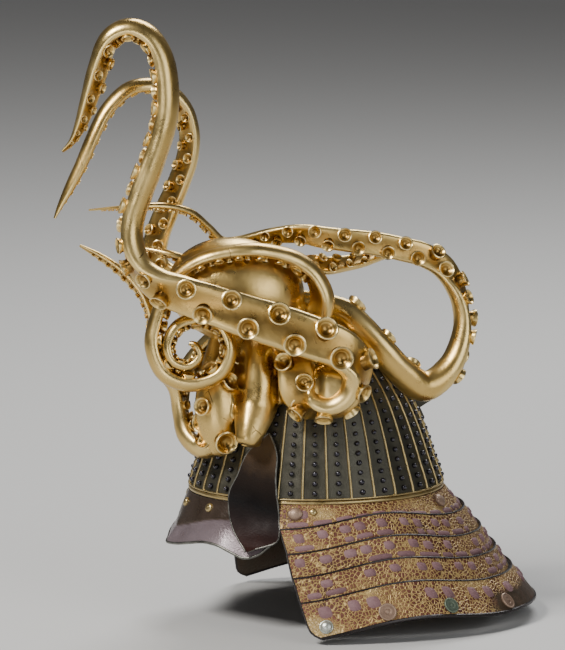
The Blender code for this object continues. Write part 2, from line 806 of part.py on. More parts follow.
def arm_stations(rows, count):
    """Even stations along a smooth curve through the rows: place, half width, turn."""
    fine = []
    padded = [rows[0]] + list(rows) + [rows[-1]]
    for k in range(len(rows) - 1):
        window = padded[k:k + 4]
        for step in range(12):
            fine.append([curve_between(column, step / 12) for column in zip(*window)])
    fine.append(list(map(float, rows[-1])))
    places = [crest_point(*row[:ARM_HALF]) for row in fine]
    travelled = [0.0]
    for a, b in zip(places, places[1:]):
        travelled.append(travelled[-1] + (b - a).length)
    stations = []
    at = 0
    for k in range(count):
        wanted = travelled[-1] * k / (count - 1)
        while at < len(fine) - 2 and travelled[at + 1] < wanted:
            at += 1
        span = travelled[at + 1] - travelled[at]
        part = min(max((wanted - travelled[at]) / span, 0.0), 1.0)
        place = places[at].lerp(places[at + 1], part)
        half = fine[at][ARM_HALF] + part * (fine[at + 1][ARM_HALF] - fine[at][ARM_HALF])
        turn = fine[at][ARM_TURN] + part * (fine[at + 1][ARM_TURN] - fine[at][ARM_TURN])
        stations.append((place, max(half, 0.002) * CREST_SPAN, turn))
    return stations


def arm_frames(stations):
    """Each station with its travel, side and sucker-face directions."""
    viewer = crest_axes()[2]
    framed = []
    for k, (place, half, turn) in enumerate(stations):
        before = stations[max(k - 1, 0)][0]
        after = stations[min(k + 1, len(stations) - 1)][0]
        travel = (after - before).normalized()
        toward = (viewer - travel * viewer.dot(travel)).normalized()
        left = toward.cross(travel)
        angle = math.radians(turn)
        face = toward * math.cos(angle) + left * math.sin(angle)
        side = travel.cross(face)
        framed.append((place, half, travel, side, face))
    return framed


def sweep_body(rows, count):
    """Vertices and faces of a tapering arm with a flat sucker face."""
    verts = []
    rings = []
    for place, half, travel, side, face in arm_frames(arm_stations(rows, count)):
        ring = []
        for wide, high in ARM_SECTION:
            ring.append(len(verts))
            verts.append(place + side * wide * half + face * high * half)
        rings.append(ring)
    faces = grid_faces(rings, True)
    faces.append(tuple(rings[0][::-1]))
    faces.append(tuple(rings[-1]))
    return verts, faces


def cup_places(rows):
    """Where the larger suckers sit: seat, direction and half width of the arm there."""
    framed = arm_frames(arm_stations(rows, 400))
    seats = []
    gone = 0.0
    wanted = 0.0
    sign = 1
    for before, here in zip(framed, framed[1:]):
        gone += (here[0] - before[0]).length
        place, half, travel, side, face = here
        if gone < wanted:
            continue
        wanted = gone + CUP_PITCH * half
        sign = -sign
        if half >= CUP_MIN_HALF_WIDTH:
            seat = place + side * sign * CUP_SIDE_SHIFT * half + face * 0.42 * half
            seats.append((seat, face, half))
    return seats


def make_cups(name, rows, skip):
    """All large suckers of one arm, as one guide body of loose cups."""
    verts = []
    faces = []
    for seat, face, half in cup_places(rows)[skip:]:
        side = face.orthogonal().normalized()
        up = face.cross(side)
        rings = []
        for reach, rise in ((CUP_FOOT, -0.16), (CUP_MOUTH, CUP_HEIGHT)):
            ring = []
            for k in range(CUP_SIDES):
                angle = 2 * math.pi * (k + 0.5) / CUP_SIDES
                ring.append(len(verts))
                spread = side * math.cos(angle) + up * math.sin(angle)
                verts.append(seat + spread * reach * half + face * rise * half)
            rings.append(ring)
        faces += grid_faces(rings, True)
        faces.append(tuple(rings[0][::-1]))
        faces.append(tuple(rings[1]))
    return add_cutter("guide_cups_" + name, verts, faces)


def make_arm(name, rows, count, skip, cutters):
    """One arm, its large suckers raised on it, cut clear of the body and the bowl."""
    verts, faces = sweep_body(rows, count)
    arm = add_object(name, verts, faces, "gold_leaf", 40.0)
    if cup_places(rows)[skip:]:
        combine(arm, make_cups(name, rows, skip), "UNION")
        arm.modifiers[-1].use_self = True
    for cutter in cutters:
        combine(arm, cutter, "DIFFERENCE")
    return arm


def ball(place, length, height, depth, grow, segments, rings):
    """An egg-shaped closed body on the crest's axes."""
    across, rise, out = crest_axes()
    middle = crest_point(*place)
    verts = [middle + rise * (height / 2 + grow), middle - rise * (height / 2 + grow)]
    rows = []
    for k in range(1, rings):
        lift = math.pi * k / rings
        row = []
        for j in range(segments):
            turn = 2 * math.pi * j / segments
            row.append(len(verts))
            verts.append(
                middle
                + across * (length / 2 + grow) * math.sin(lift) * math.cos(turn)
                + out * (depth / 2 + grow) * math.sin(lift) * math.sin(turn)
                + rise * (height / 2 + grow) * math.cos(lift)
            )
        rows.append(row)
    faces = grid_faces(rows, True)
    for k in range(segments):
        after = (k + 1) % segments
        faces.append((0, rows[0][after], rows[0][k]))
        faces.append((1, rows[-1][k], rows[-1][after]))
    return verts, faces


def web_rows(grow):
    """The web's rows, widened by a clearance."""
    extra = grow / CREST_SPAN
    return [(a, b, c, d + extra, e) for a, b, c, d, e in WEB]


def make_dome_cutter():
    """The bowl with its ribs and the fitting gap, as a solid block."""
    rings = []
    verts = []
    for index in range(len(BOWL_PROFILE) - 1):
        ring = []
        for turn in rib_turns():
            ring.append(len(verts))
            verts.append(bowl_point(turn, index, RIB_LIFT + 2 * FIT_GAP))
        rings.append(ring)
    faces = grid_faces(rings, True)
    faces.append(tuple(rings[0][::-1]))
    top = len(verts)
    verts.append(Vector((0.0, 0.0, BOWL_HEIGHT + RIB_LIFT)))
    for a, b in zip(rings[-1], rings[-1][1:] + rings[-1][:1]):
        faces.append((a, b, top))
    return add_cutter("guide_dome", verts, faces)


def make_octopus_body(dome):
    """Mantle, head, lobe and web in one on the bowl, and its grown twin for fitting."""
    made = []
    for grow in (0.0, 0.0006):
        verts, faces = ball(MANTLE_PLACE, MANTLE_LENGTH, MANTLE_HEIGHT, MANTLE_DEPTH, grow, 16, 9)
        if grow:
            body = add_cutter("guide_body", verts, faces)
        else:
            body = add_object("octopus_body", verts, faces, "gold_leaf", 50.0)
        verts, faces = ball(HEAD_PLACE, HEAD_LENGTH, HEAD_HEIGHT, HEAD_DEPTH, grow, 14, 8)
        combine(body, add_cutter("guide_head_%d" % (grow > 0), verts, faces), "UNION")
        verts, faces = ball(LOBE_PLACE, LOBE_LENGTH, LOBE_HEIGHT, LOBE_DEPTH, grow, 12, 7)
        combine(body, add_cutter("guide_lobe_%d" % (grow > 0), verts, faces), "UNION")
        verts, faces = sweep_body(web_rows(grow), 9)
        combine(body, add_cutter("guide_web_%d" % (grow > 0), verts, faces), "UNION")
        made.append(body)
    combine(made[0], dome, "DIFFERENCE")
    return made[1]


def make_octopus():
    """The gilded octopus."""
    dome = make_dome_cutter()
    grown = make_octopus_body(dome)
    arms = (
        ("arm_riser", ARM_RISER, 58, 1),
        ("arm_spiral", ARM_SPIRAL, 52, 1),
        ("arm_loop", ARM_LOOP, 52, 1),
        ("arm_curl", ARM_CURL, 30, 1),
        ("arm_rear", ARM_REAR, 34, 1),
        ("arm_inner", ARM_INNER, 14, 0),
        ("arm_tip", ARM_TIP, 9, 0),
        ("arm_far", ARM_FAR, 16, 0),
    )
    for name, rows, count, skip in arms:
        make_arm(name, rows, count, skip, (grown, dome))


def main():
    """Build the helmet."""
    clear_scene()
    make_bowl()
    make_base_ring()
    make_visor()
    make_visor_rivets()
    make_ears()
    for number in range(1, 6):
        make_lame(number)
    make_guard_trim()
    make_bracket()
    make_octopus()


main()
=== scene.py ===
"""The look of the helmet: fine plates, ribs, rivets and lacing, and the gilded octopus."""

import math
import random

import bmesh
import bpy
from mathutils import Matrix, Vector, noise
from mathutils.bvhtree import BVHTree


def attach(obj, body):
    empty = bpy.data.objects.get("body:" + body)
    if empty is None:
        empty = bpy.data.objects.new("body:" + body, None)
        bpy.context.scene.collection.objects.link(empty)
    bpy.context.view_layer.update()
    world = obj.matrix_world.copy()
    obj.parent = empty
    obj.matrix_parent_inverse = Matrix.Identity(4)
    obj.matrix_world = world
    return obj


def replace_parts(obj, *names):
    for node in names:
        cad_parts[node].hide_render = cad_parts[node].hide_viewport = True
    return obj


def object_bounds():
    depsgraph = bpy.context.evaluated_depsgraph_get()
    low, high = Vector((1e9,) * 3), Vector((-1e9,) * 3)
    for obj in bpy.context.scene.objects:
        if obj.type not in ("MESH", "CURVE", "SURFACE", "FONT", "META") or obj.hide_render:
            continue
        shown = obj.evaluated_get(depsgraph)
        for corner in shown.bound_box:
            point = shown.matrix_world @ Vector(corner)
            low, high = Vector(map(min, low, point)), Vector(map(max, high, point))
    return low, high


DICE = random.Random(11)
UP = Vector((0.0, 0.0, 1.0))

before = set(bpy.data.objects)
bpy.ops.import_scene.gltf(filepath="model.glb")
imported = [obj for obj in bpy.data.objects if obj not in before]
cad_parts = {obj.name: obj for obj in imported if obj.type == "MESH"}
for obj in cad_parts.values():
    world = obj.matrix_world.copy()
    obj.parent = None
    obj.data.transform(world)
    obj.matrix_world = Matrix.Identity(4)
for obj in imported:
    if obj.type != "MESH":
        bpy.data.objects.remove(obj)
CAD_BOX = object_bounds()

# Bowl
BOWL_HALF_LENGTH = 0.117
BOWL_HALF_WIDTH = 0.103
BOWL_HEIGHT = 0.150
BOWL_WALL = 0.0026
BOWL_CLEAR = 0.0026
BOWL_TOP_SHARE = 0.985
BOWL_ROWS = 26
PLATE_COUNT = 32
PLATE_COLUMNS = 6
PLATE_HOLLOW = 0.0007
FIRST_RIB_DEG = 5.6
RIB_RADIUS = 0.00125
RIB_TAPER = 0.00035
RIB_LIFT = 0.0004
RIB_FOOT_SHARE = 0.004
RIB_TOP_SHARE = 0.934
RIB_STATIONS = 23
RIVET_RADIUS = 0.0026
RIVET_SINK = 0.0004
RIVET_ROWS = 14
RIVET_FIRST_SHARE = 0.040
RIVET_PITCH_SHARE = 0.0575
BEAD_RADIUS = 0.0026
BEAD_LINE_RADIUS = 0.0009
BEAD_LINE_LIFT = 0.0006
BEAD_STATIONS = 160
FIT_GAP = 0.0003

# Visor
VISOR_REACH = 0.0223
VISOR_DROP = 0.0527
VISOR_WALL = 0.0022
VISOR_TOP_REACH = 0.0003
VISOR_TOP_DROP = 0.0056
VISOR_BEAK = 0.0016
VISOR_BEAK_DEG = 7.0
VISOR_BAND_LIFT = 0.0009
VISOR_SINK = 0.0004
VISOR_RIM_RADIUS = 0.00135
VISOR_RIVET_DEG = 25.0
VISOR_RIVET_SHARE = 0.20
VISOR_RIVET_RADIUS = 0.0042
VISOR_COLUMNS = 96
VISOR_ROWS = 22

# Turned-back ears
EAR_HEIGHT = 0.105
EAR_FORWARD_SHARE = 0.687
EAR_STAND_SHARE = 1.228
EAR_WALL = 0.0020
EAR_FOOT = -0.046
EAR_ROUND_FROM = 0.86
EAR_FLARE = 0.0016
EAR_DISH = 0.0004
EAR_RIM_RADIUS = 0.0010
EAR_STEPS = 44
EAR_COLUMNS = 18

# Neck guard
GUARD_DROP = 0.1079
GUARD_SPREAD = 0.084
GUARD_TOP_REACH = 0.0004
GUARD_TOP_DROP = 0.0054
SHOULDER_RISE = 0.0165
SHOULDER_DEG = 106.0
SHOULDER_SWEEP_DEG = 25.0
SHOULDER_TOP_POWER = 0.15
FRONT_DROP_SHARE = 1.15
FRONT_SPREAD_SHARE = 0.78
REAR_DEG = 150.0
LAME_COUNT = 5
LAME_WALL = 0.0020
LAME_STEP = 0.0032
LAME_OVERLAP = 0.2
LAME_COLUMNS = 150
LAME_ROWS = 10
LAME_RUFFLE = 0.00018
LAP_SHADOW_LINE_RADIUS = 0.0010
FRONT_EDGE_RADIUS = 0.0012
HEM_RADIUS = 0.0017
EDGE_SIDES = 7
LACE_BAND_LIFT = 0.0013
LACE_PATCH_LIFT = 0.0024
LACE_PATCH_HALF = 0.0112

# Bosses, discs and bracket
BOSS_RADIUS = 0.0064
DISC_LEVEL = 4.72
DISC_STUD_RADIUS = 0.0009
SEAT_STEP = 0.1
BRACKET_CHAMFER = 0.0005

# Octopus: the crest is laid out on the plane of its display side
CREST_SPAN = 0.4605
CREST_TURN_DEG = 78.0
CREST_LEAN_DEG = 9.4
ARM_STEPS = 12
ARM_MIN_HALF = 0.002
SUCKER_SIDES = 16
SUCKER_PITCH = 2.0
SUCKER_SHIFT = 0.47
SUCKER_SPLAY_DEG = 16.0
SUCKER_MIN_RADIUS = 0.0012
BODY_VOXEL = 0.0022
BODY_SMOOTH_STEPS = 7
BUMP_DEPTH = 0.0006

# Camera, and lamps: name, place, size, power, colour
VIEW_ACROSS = -0.03085
VIEW_RISE = 0.14365
VIEW_HEIGHT = 0.5985
VIEW_DISTANCE = 16.0
LAMP_AIM = 0.14
LAMPS = (
    ("key", (0.9, -1.7, 2.1), 0.8, 80.0, (1.0, 0.97, 0.93)),
    ("fill", (2.0, 1.1, 0.8), 1.4, 16.0, (0.96, 0.98, 1.0)),
    ("back", (-1.6, 0.8, 1.9), 1.2, 45.0, (1.0, 1.0, 1.0)),
    ("low", (1.7, -1.0, 0.0), 0.9, 7.0, (1.0, 1.0, 1.0)),
)
FLOOR_HALF = 6.0
FLOOR_GAP = 0.004

# Outer face of the bowl: share of the height, share of the half-length
BOWL_PROFILE = (
    ("rise", "reach"),
    (0.00, 1.000),
    (0.17, 0.930),
    (0.36, 0.845),
    (0.54, 0.740),
    (0.71, 0.590),
    (0.86, 0.400),
    (0.96, 0.200),
)

# Visor edge: degrees from the front, share of the reach, share of the drop
VISOR_EDGE = (
    ("turn", "reach", "drop"),
    (0.0, 1.00, 0.97),
    (9.0, 0.90, 0.94),
    (20.0, 0.85, 0.86),
    (29.0, 0.84, 0.80),
    (37.0, 0.84, 0.82),
    (43.0, 0.82, 0.91),
    (49.5, 0.79, 1.00),
    (55.5, 0.72, 0.93),
    (60.0, 0.60, 0.78),
)

# Visor section from the bowl to the edge, as shares of the edge's own sizes
VISOR_SECTION = (
    ("step", "reach", "drop"),
    (0, 0.00, 0.00),
    (1, 0.32, 0.36),
    (2, 0.56, 0.64),
    (3, 1.00, 1.00),
)

# Ear: share of its height, then shares of the bowl's spans forward and outward
EAR_ROWS = (
    ("rise", "rim", "root", "rim_out", "root_out"),
    (0.000, 0.810, 0.775, 0.890, 0.890),
    (0.076, 0.875, 0.480, 0.840, 0.925),
    (0.160, 0.940, 0.422, 0.792, 0.918),
    (0.270, 0.985, 0.426, 0.740, 0.870),
    (0.380, 1.000, 0.436, 0.704, 0.842),
    (0.486, 0.990, 0.455, 0.678, 0.832),
    (0.630, 0.900, 0.465, 0.676, 0.802),
    (0.820, 0.790, 0.450, 0.652, 0.750),
    (1.000, 0.590, 0.500, 0.656, 0.674),
)

# Neck guard edges, top to bottom: share of the drop, share of the spread, front end
GUARD_EDGES = (
    ("drop", "spread", "front"),
    (0.000, 0.00, 62.5),
    (0.208, 0.20, 64.5),
    (0.384, 0.38, 69.0),
    (0.566, 0.54, 71.3),
    (0.735, 0.70, 74.1),
    (1.000, 1.00, 78.0),
)

# Discs on the hem: degrees from the front, radius
HEM_DISCS = (
    ("turn", "radius"),
    (81.8, 0.0066),
    (99.5, 0.0084),
    (119.5, 0.0076),
    (143.0, 0.0080),
)

# Bosses on the top lame: degrees from the front, level on the guard, radius share
TOP_BOSSES = (
    ("turn", "level", "size"),
    (70.3, 0.34, 1.00),
    (78.0, 0.28, 0.56),
    (144.8, 0.34, 1.00),
)

# Arms: thousandths of CREST_SPAN across, up and out of the display plane and as half width,
# and the turn of the sucker face in degrees (0 to the viewer, 90 to the left of travel)
ARM_RISER = (
    (-56, 272, 208, 38, 0), (-40, 226, 232, 38, 0), (-36, 182, 240, 37, -20),
    (-12, 152, 244, 36, -60), (32, 148, 250, 36, -90), (70, 174, 256, 37, -85),
    (82, 220, 268, 40, -60), (50, 262, 284, 43, -20), (-12, 288, 294, 44, 0),
    (-82, 312, 302, 44, 0), (-152, 334, 306, 42, 0), (-216, 356, 304, 40, 8),
    (-268, 374, 300, 39, 25), (-316, 394, 296, 38, 50), (-352, 426, 292, 36, 75),
    (-368, 472, 290, 35, 95), (-366, 522, 290, 34, 100), (-348, 578, 294, 34, 100),
    (-320, 652, 298, 34, 100), (-300, 724, 302, 34, 100), (-298, 784, 306, 34, 98),
    (-308, 842, 310, 32, 95), (-332, 882, 312, 30, 92), (-366, 898, 312, 29, 90),
    (-398, 888, 310, 28, 80), (-418, 862, 306, 27, 65), (-432, 822, 300, 25, 55),
    (-448, 768, 294, 21, 50), (-466, 712, 288, 15, 50), (-484, 676, 284, 8, 50),
    (-504, 656, 282, 3, 50),
)

ARM_SPIRAL = (
    (0, 318, 184, 32, 40), (12, 362, 196, 30, 60), (-4, 406, 202, 27, 75),
    (-32, 434, 208, 24, 90), (-72, 450, 222, 22, 90), (-132, 458, 248, 20, 90),
    (-202, 448, 252, 18, 90), (-252, 426, 240, 18, 90), (-294, 388, 226, 18, 90),
    (-310, 340, 224, 18, 90), (-324, 276, 226, 18, 90), (-302, 218, 228, 18, 90),
    (-252, 196, 230, 17, 90), (-196, 212, 232, 16, 90), (-172, 258, 234, 15, 90),
    (-184, 302, 236, 14, 90), (-224, 322, 238, 13, 90), (-272, 312, 240, 12, 90),
    (-294, 274, 242, 11, 90), (-284, 240, 244, 10, 90), (-254, 230, 246, 9, 90),
    (-232, 250, 248, 8, 90), (-240, 272, 250, 6, 90), (-252, 276, 250, 3, 90),
)

ARM_LOOP = (
    (-40, 356, 116, 34, 120), (48, 338, 126, 34, 125), (92, 302, 136, 33, 130),
    (132, 258, 136, 32, 135), (172, 216, 124, 31, 150), (218, 190, 104, 30, 180),
    (268, 232, 82, 29, 230), (294, 302, 68, 28, 260), (288, 366, 60, 27, 280),
    (258, 422, 60, 26, 320), (218, 450, 68, 25, 345), (168, 464, 78, 24, 360),
    (118, 474, 88, 24, 360), (68, 480, 96, 23, 365), (18, 486, 98, 22, 370),
    (-32, 494, 92, 20, 380), (-92, 490, 80, 17, 395), (-152, 478, 74, 15, 415),
    (-188, 478, 84, 14, 430), (-216, 506, 106, 12, 440), (-252, 536, 134, 11, 450),
    (-302, 548, 166, 10, 450), (-372, 546, 196, 7, 450), (-452, 540, 208, 3, 450),
)

ARM_CURL = (
    (-172, 278, 154, 42, 0), (-184, 214, 162, 46, 0), (-196, 150, 162, 45, -5),
    (-198, 98, 158, 40, -40), (-224, 72, 146, 34, -75), (-256, 94, 130, 28, -85),
    (-268, 140, 122, 25, -80), (-278, 186, 130, 22, -75), (-304, 224, 150, 20, -60),
    (-322, 278, 168, 17, 60), (-330, 330, 182, 14, 80), (-350, 376, 188, 13, 70),
    (-388, 418, 192, 12, 60), (-430, 448, 196, 9, 60), (-470, 470, 200, 3, 60),
)

ARM_REAR = (
    (-222, 392, 124, 26, 20), (-288, 406, 92, 26, 20), (-320, 438, 84, 26, 25),
    (-318, 482, 88, 26, 30), (-300, 532, 96, 26, 35), (-272, 598, 108, 25, 40),
    (-256, 646, 116, 24, 40), (-252, 694, 124, 23, 45), (-264, 742, 136, 22, 55),
    (-296, 778, 152, 21, 80), (-336, 788, 168, 20, 105), (-376, 778, 180, 20, 110),
    (-416, 738, 190, 19, 112), (-442, 688, 196, 18, 112), (-464, 636, 198, 17, 112),
    (-488, 588, 198, 14, 112), (-508, 550, 196, 8, 112), (-520, 524, 194, 3, 112),
)

ARM_INNER = (
    (-70, 410, 140, 20, 0), (-12, 432, 112, 20, 20), (28, 430, 78, 19, 30),
    (88, 440, 40, 16, 40), (150, 456, 10, 12, 60), (204, 444, -6, 3, 60),
)

ARM_TIP = (
    (-210, 424, 150, 13, 60), (-272, 446, 160, 12, 75), (-312, 458, 154, 9, 80),
    (-352, 466, 144, 3, 80),
)

ARM_FAR = (
    (-140, 320, 110, 28, 60), (-200, 284, 56, 27, 60), (-256, 222, 36, 24, 60),
    (-270, 150, 46, 20, 60), (-256, 92, 68, 14, 60), (-240, 52, 96, 4, 60),
)

# Arms: name, table, count of sections, sucker sizes, bare length, share by which the tip is fuller.
# The sucker sizes are shares of the half width, first and last, and the share of the arm where they change
ARMS = (
    ("arm_riser", ARM_RISER, 260, (0.54, 0.50, 0.45), 0.0, 0.0),
    ("arm_spiral", ARM_SPIRAL, 240, (0.46, 0.66, 0.4), 0.05, 0.5),
    ("arm_loop", ARM_LOOP, 240, (0.62, 0.62, 0.5), 0.03, 0.0),
    ("arm_curl", ARM_CURL, 150, (0.50, 0.42, 0.4), 0.01, 0.0),
    ("arm_rear", ARM_REAR, 150, (0.44, 0.40, 0.5), 0.04, 0.0),
    ("arm_inner", ARM_INNER, 60, (0.55, 0.50, 0.5), 0.02, 0.0),
    ("arm_tip", ARM_TIP, 40, (0.50, 0.45, 0.5), 0.01, 0.0),
    ("arm_far", ARM_FAR, 70, (0.50, 0.45, 0.5), 0.02, 0.0),
)

# Fine section of an arm: across the sucker face and along its normal, in half widths
FINE_SECTION = (
    (0.00, 0.34), (0.42, 0.36), (0.74, 0.44), (0.92, 0.38), (1.00, 0.10),
    (0.95, -0.20), (0.76, -0.48), (0.42, -0.70), (0.00, -0.78),
)

# Front web and folds of the body, with the arms' columns and a count of sections
BODY_FOLDS = (
    (((-112, 268, 172, 50, 180), (-114, 212, 178, 50, 180), (-118, 160, 200, 45, 180),
      (-130, 110, 230, 34, 180), (-142, 74, 246, 20, 180)), 40),
    (((0, 280, 186, 36, 180), (-26, 232, 200, 38, 180), (-36, 180, 204, 36, 180),
      (-40, 150, 198, 28, 180)), 24),
    (((-104, 300, 186, 34, 180), (-112, 240, 204, 34, 180), (-116, 180, 214, 32, 180),
      (-126, 120, 216, 28, 180), (-132, 70, 208, 22, 180)), 30),
)

# Mantle, head, lobe and lumps of the body: place in shares of CREST_SPAN, length, height, depth, tilt
BODY_LUMPS = (
    ((-0.160, 0.382, 0.158), 0.127, 0.096, 0.088, -8.0),
    ((-0.084, 0.276, 0.142), 0.094, 0.092, 0.070, 0.0),
    ((0.014, 0.206, 0.158), 0.080, 0.074, 0.060, 0.0),
    ((0.036, 0.186, 0.236), 0.052, 0.056, 0.036, 0.0),
    ((-0.196, 0.140, 0.172), 0.042, 0.084, 0.040, 4.0),
    ((-0.205, 0.330, 0.180), 0.050, 0.036, 0.034, -30.0),
)

# Suckers on the body: across, rise, radius
BODY_CUPS = (
    (-0.176, 0.196, 0.0092),
    (-0.222, 0.150, 0.0086),
    (-0.182, 0.082, 0.0112),
    (-0.030, 0.156, 0.0112),
)

# Dents and swellings: across, rise, half width, half height, push outward in metres, tone; the tone column
# paints shade into the dents where it is negative
BODY_DENTS_AND_SHADE = (
    (-0.090, 0.242, 0.013, 0.022, -0.0046, -0.50),
    (-0.076, 0.190, 0.008, 0.055, -0.0030, -0.45),
    (-0.152, 0.170, 0.008, 0.090, -0.0020, -0.40),
    (0.006, 0.200, 0.008, 0.050, -0.0020, -0.40),
    (0.036, 0.186, 0.020, 0.020, -0.0012, 0.10),
    (0.036, 0.222, 0.030, 0.007, -0.0012, -0.30),
)

# Lacing patches of each hoop: degrees from the front
LACE_TURNS = (75.0, 84.0, 92.5, 98.0, 106.5, 116.0, 122.0, 131.5, 138.0, 149.0, 157.0, 167.0, 174.0)

# Turned pieces: reach and rise in radii, then the tone, which paints shade at each piece's foot, in its
# grooves and in a sucker's cup, and is lighter on the raised rims and tops
SUCKER_PROFILE = (
    (0.86, -0.40, 0.00), (0.78, 0.10, 0.25), (0.84, 0.38, 0.70), (0.98, 0.62, 0.95), (1.00, 0.74, 1.00),
    (0.90, 0.80, 1.00), (0.78, 0.72, 0.80), (0.68, 0.50, 0.30), (0.58, 0.46, 0.50), (0.46, 0.32, 0.20),
    (0.22, 0.20, 0.25), (0.04, 0.17, 0.30),
)
RIVET_PROFILE = (
    (1.0, -0.3, 0.2), (1.0, 0.3, 0.5), (0.88, 0.80, 0.8), (0.55, 1.18, 0.9), (0.12, 1.32, 1.0),
)
VISOR_RIVET_PROFILE = (
    (1.0, -0.3, 0.2), (1.0, 0.25, 0.6), (0.84, 0.5, 1.0), (0.5, 0.62, 0.9), (0.34, 0.60, 0.4),
    (0.24, 0.66, 0.7), (0.06, 0.72, 0.9),
)
DISC_PROFILE = (
    (0.90, -0.12, 0.2), (1.0, 0.05, 0.6), (1.0, 0.16, 0.9), (0.90, 0.24, 1.0), (0.80, 0.20, 0.5),
    (0.66, 0.22, 0.4), (0.40, 0.27, 0.7), (0.30, 0.20, 0.3), (0.16, 0.24, 0.6), (0.03, 0.26, 0.8),
)
DOME_PROFILE = (
    (1.0, -0.2, 0.2), (1.0, 0.12, 0.6), (0.92, 0.20, 1.0), (0.84, 0.20, 0.5), (0.74, 0.36, 0.8),
    (0.50, 0.52, 0.9), (0.24, 0.60, 1.0), (0.04, 0.62, 1.0),
)
STUD_PROFILE = ((1.0, 0.0, 0.0), (0.8, 0.5, 0.1), (0.1, 0.6, 0.1))
KNOB_PROFILE = (
    (0.95, -0.3, 0.1), (1.0, 0.12, 0.4), (0.92, 0.36, 0.7), (0.66, 0.56, 0.9), (0.30, 0.66, 1.0),
    (0.04, 0.68, 1.0),
)


def clamp(value):
    """The value held between 0 and 1."""
    return min(max(value, 0.0), 1.0)


def even(count):
    """Shares from 0 to 1 in even steps."""
    return [k / (count - 1) for k in range(count)]


def linked(name, data):
    """An object of the scene."""
    made = bpy.data.objects.new(name, data)
    bpy.context.scene.collection.objects.link(made)
    return made


def outward_mesh(name, verts, faces):
    """A mesh whose faces look outward."""
    mesh = bpy.data.meshes.new(name)
    mesh.from_pydata([tuple(v) for v in verts], [], faces)
    shell = bmesh.new()
    shell.from_mesh(mesh)
    bmesh.ops.recalc_face_normals(shell, faces=shell.faces)
    shell.to_mesh(mesh)
    shell.free()
    return mesh


def piece(name, verts, faces, tones, finish, sharp_deg=50.0):
    """One visible mesh that rides on the helmet."""
    mesh = outward_mesh(name, verts, faces)
    mesh.attributes.new("tone", "FLOAT", "POINT").data.foreach_set("value", tones)
    mesh.shade_smooth()
    mesh.set_sharp_from_angle(angle=math.radians(sharp_deg))
    made = linked(name, mesh)
    dress(made, finish)
    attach(made, "root")
    return made


def dress(made, finish):
    """Give a piece its finish."""
    slot, material = finish
    made.data.materials.clear()
    made.data.materials.append(material)


def circle(middle, side, up, radius, sides):
    """Points round a middle, from its two directions."""
    turns = [2 * math.pi * k / sides for k in range(sides)]
    return [middle + (side * math.cos(turn) + up * math.sin(turn)) * radius for turn in turns]


def grid_faces(rings, closed):
    """Quads between neighbouring rows of vertex numbers."""
    faces = []
    for low, high in zip(rings, rings[1:]):
        count = len(low)
        for k in range(count if closed else count - 1):
            after = (k + 1) % count
            faces.append((low[k], low[after], high[after], high[k]))
    return faces


def border(rows):
    """The outer loop of a grid of vertex numbers."""
    loop = rows[0] + [row[-1] for row in rows[1:]]
    return loop + rows[-1][-2::-1] + [row[0] for row in rows[-2:0:-1]]


class Shape:
    """Loose bodies gathered into one mesh."""

    def __init__(self):
        self.verts = []
        self.faces = []
        self.tones = []

    def ring(self, points, tone):
        """Add a row of points and give their numbers."""
        start = len(self.verts)
        self.verts += points
        self.tones += tone if isinstance(tone, list) else [tone] * len(points)
        return list(range(start, len(self.verts)))

    def skin(self, rings, cap_low=True):
        """A closed skin through rings of point numbers, with caps."""
        self.faces += grid_faces(rings, True)
        if cap_low:
            self.faces.append(tuple(rings[0][::-1]))
        self.faces.append(tuple(rings[-1]))

    def turned(self, seat, normal, profile, radius, sides):
        """A profile turned about the normal at its seat."""
        side = normal.orthogonal().normalized()
        up = normal.cross(side)
        self.skin([
            self.ring(circle(seat + normal * rise * radius, side, up, reach * radius, sides), tone)
            for reach, rise, tone in profile
        ])

    def tube(self, path, radii, sides, tone, closed=False):
        """A round bar along a path."""
        rings = []
        count = len(path)
        for k, place in enumerate(path):
            before = path[k - 1 if closed else max(k - 1, 0)]
            after = path[(k + 1) % count if closed else min(k + 1, count - 1)]
            travel = (after - before).normalized()
            side = travel.cross(Vector((0.13, 0.21, 0.97))).normalized()
            radius = radii if isinstance(radii, float) else radii[k]
            rings.append(self.ring(circle(place, side, side.cross(travel), radius, sides), tone))
        if closed:
            self.faces += grid_faces(rings + rings[:1], True)
        else:
            self.skin(rings)

    def plate(self, front, back, tones, back_tone=None):
        """A thin plate between two like grids of points, with tones for each row."""
        rows = [self.ring(row, tone) for row, tone in zip(front, tones)]
        behind = [self.ring(row, tone if back_tone is None else back_tone) for row, tone in zip(back, tones)]
        self.faces += grid_faces(rows, False) + grid_faces(behind, False)
        self.faces += grid_faces([border(rows), border(behind)], True)

    def finish(self, name, finish, sharp_deg=50.0):
        """The gathered bodies as one piece."""
        return piece(name, self.verts, self.faces, self.tones, finish, sharp_deg)


def rows_of(table):
    """The rows of a table whose first row names its columns."""
    return [dict(zip(table[0], row)) for row in table[1:]]


def curve_between(values, part):
    """Smooth reading through four neighbouring values."""
    a, b, c, d = values
    first = 2 * b
    second = (c - a) * part
    third = (2 * a - 5 * b + 4 * c - d) * part ** 2
    fourth = (3 * b - a - 3 * c + d) * part ** 3
    return 0.5 * (first + second + third + fourth)


def smooth_between(rows, key, value, wanted):
    """Smooth reading of a column between two rows."""
    at = 0
    while at < len(rows) - 2 and rows[at + 1][key] < value:
        at += 1
    part = clamp((value - rows[at][key]) / (rows[at + 1][key] - rows[at][key]))
    window = [rows[min(max(k, 0), len(rows) - 1)][wanted] for k in range(at - 1, at + 3)]
    return curve_between(window, part)


def ring_point(turn_deg, grow, height):
    """A point round the oval of the bowl, turned from the front to the wearer's left."""
    turn = math.radians(turn_deg)
    along = BOWL_HALF_LENGTH + grow
    wide = BOWL_HALF_WIDTH + grow
    return Vector((wide * math.sin(turn), -along * math.cos(turn), height))


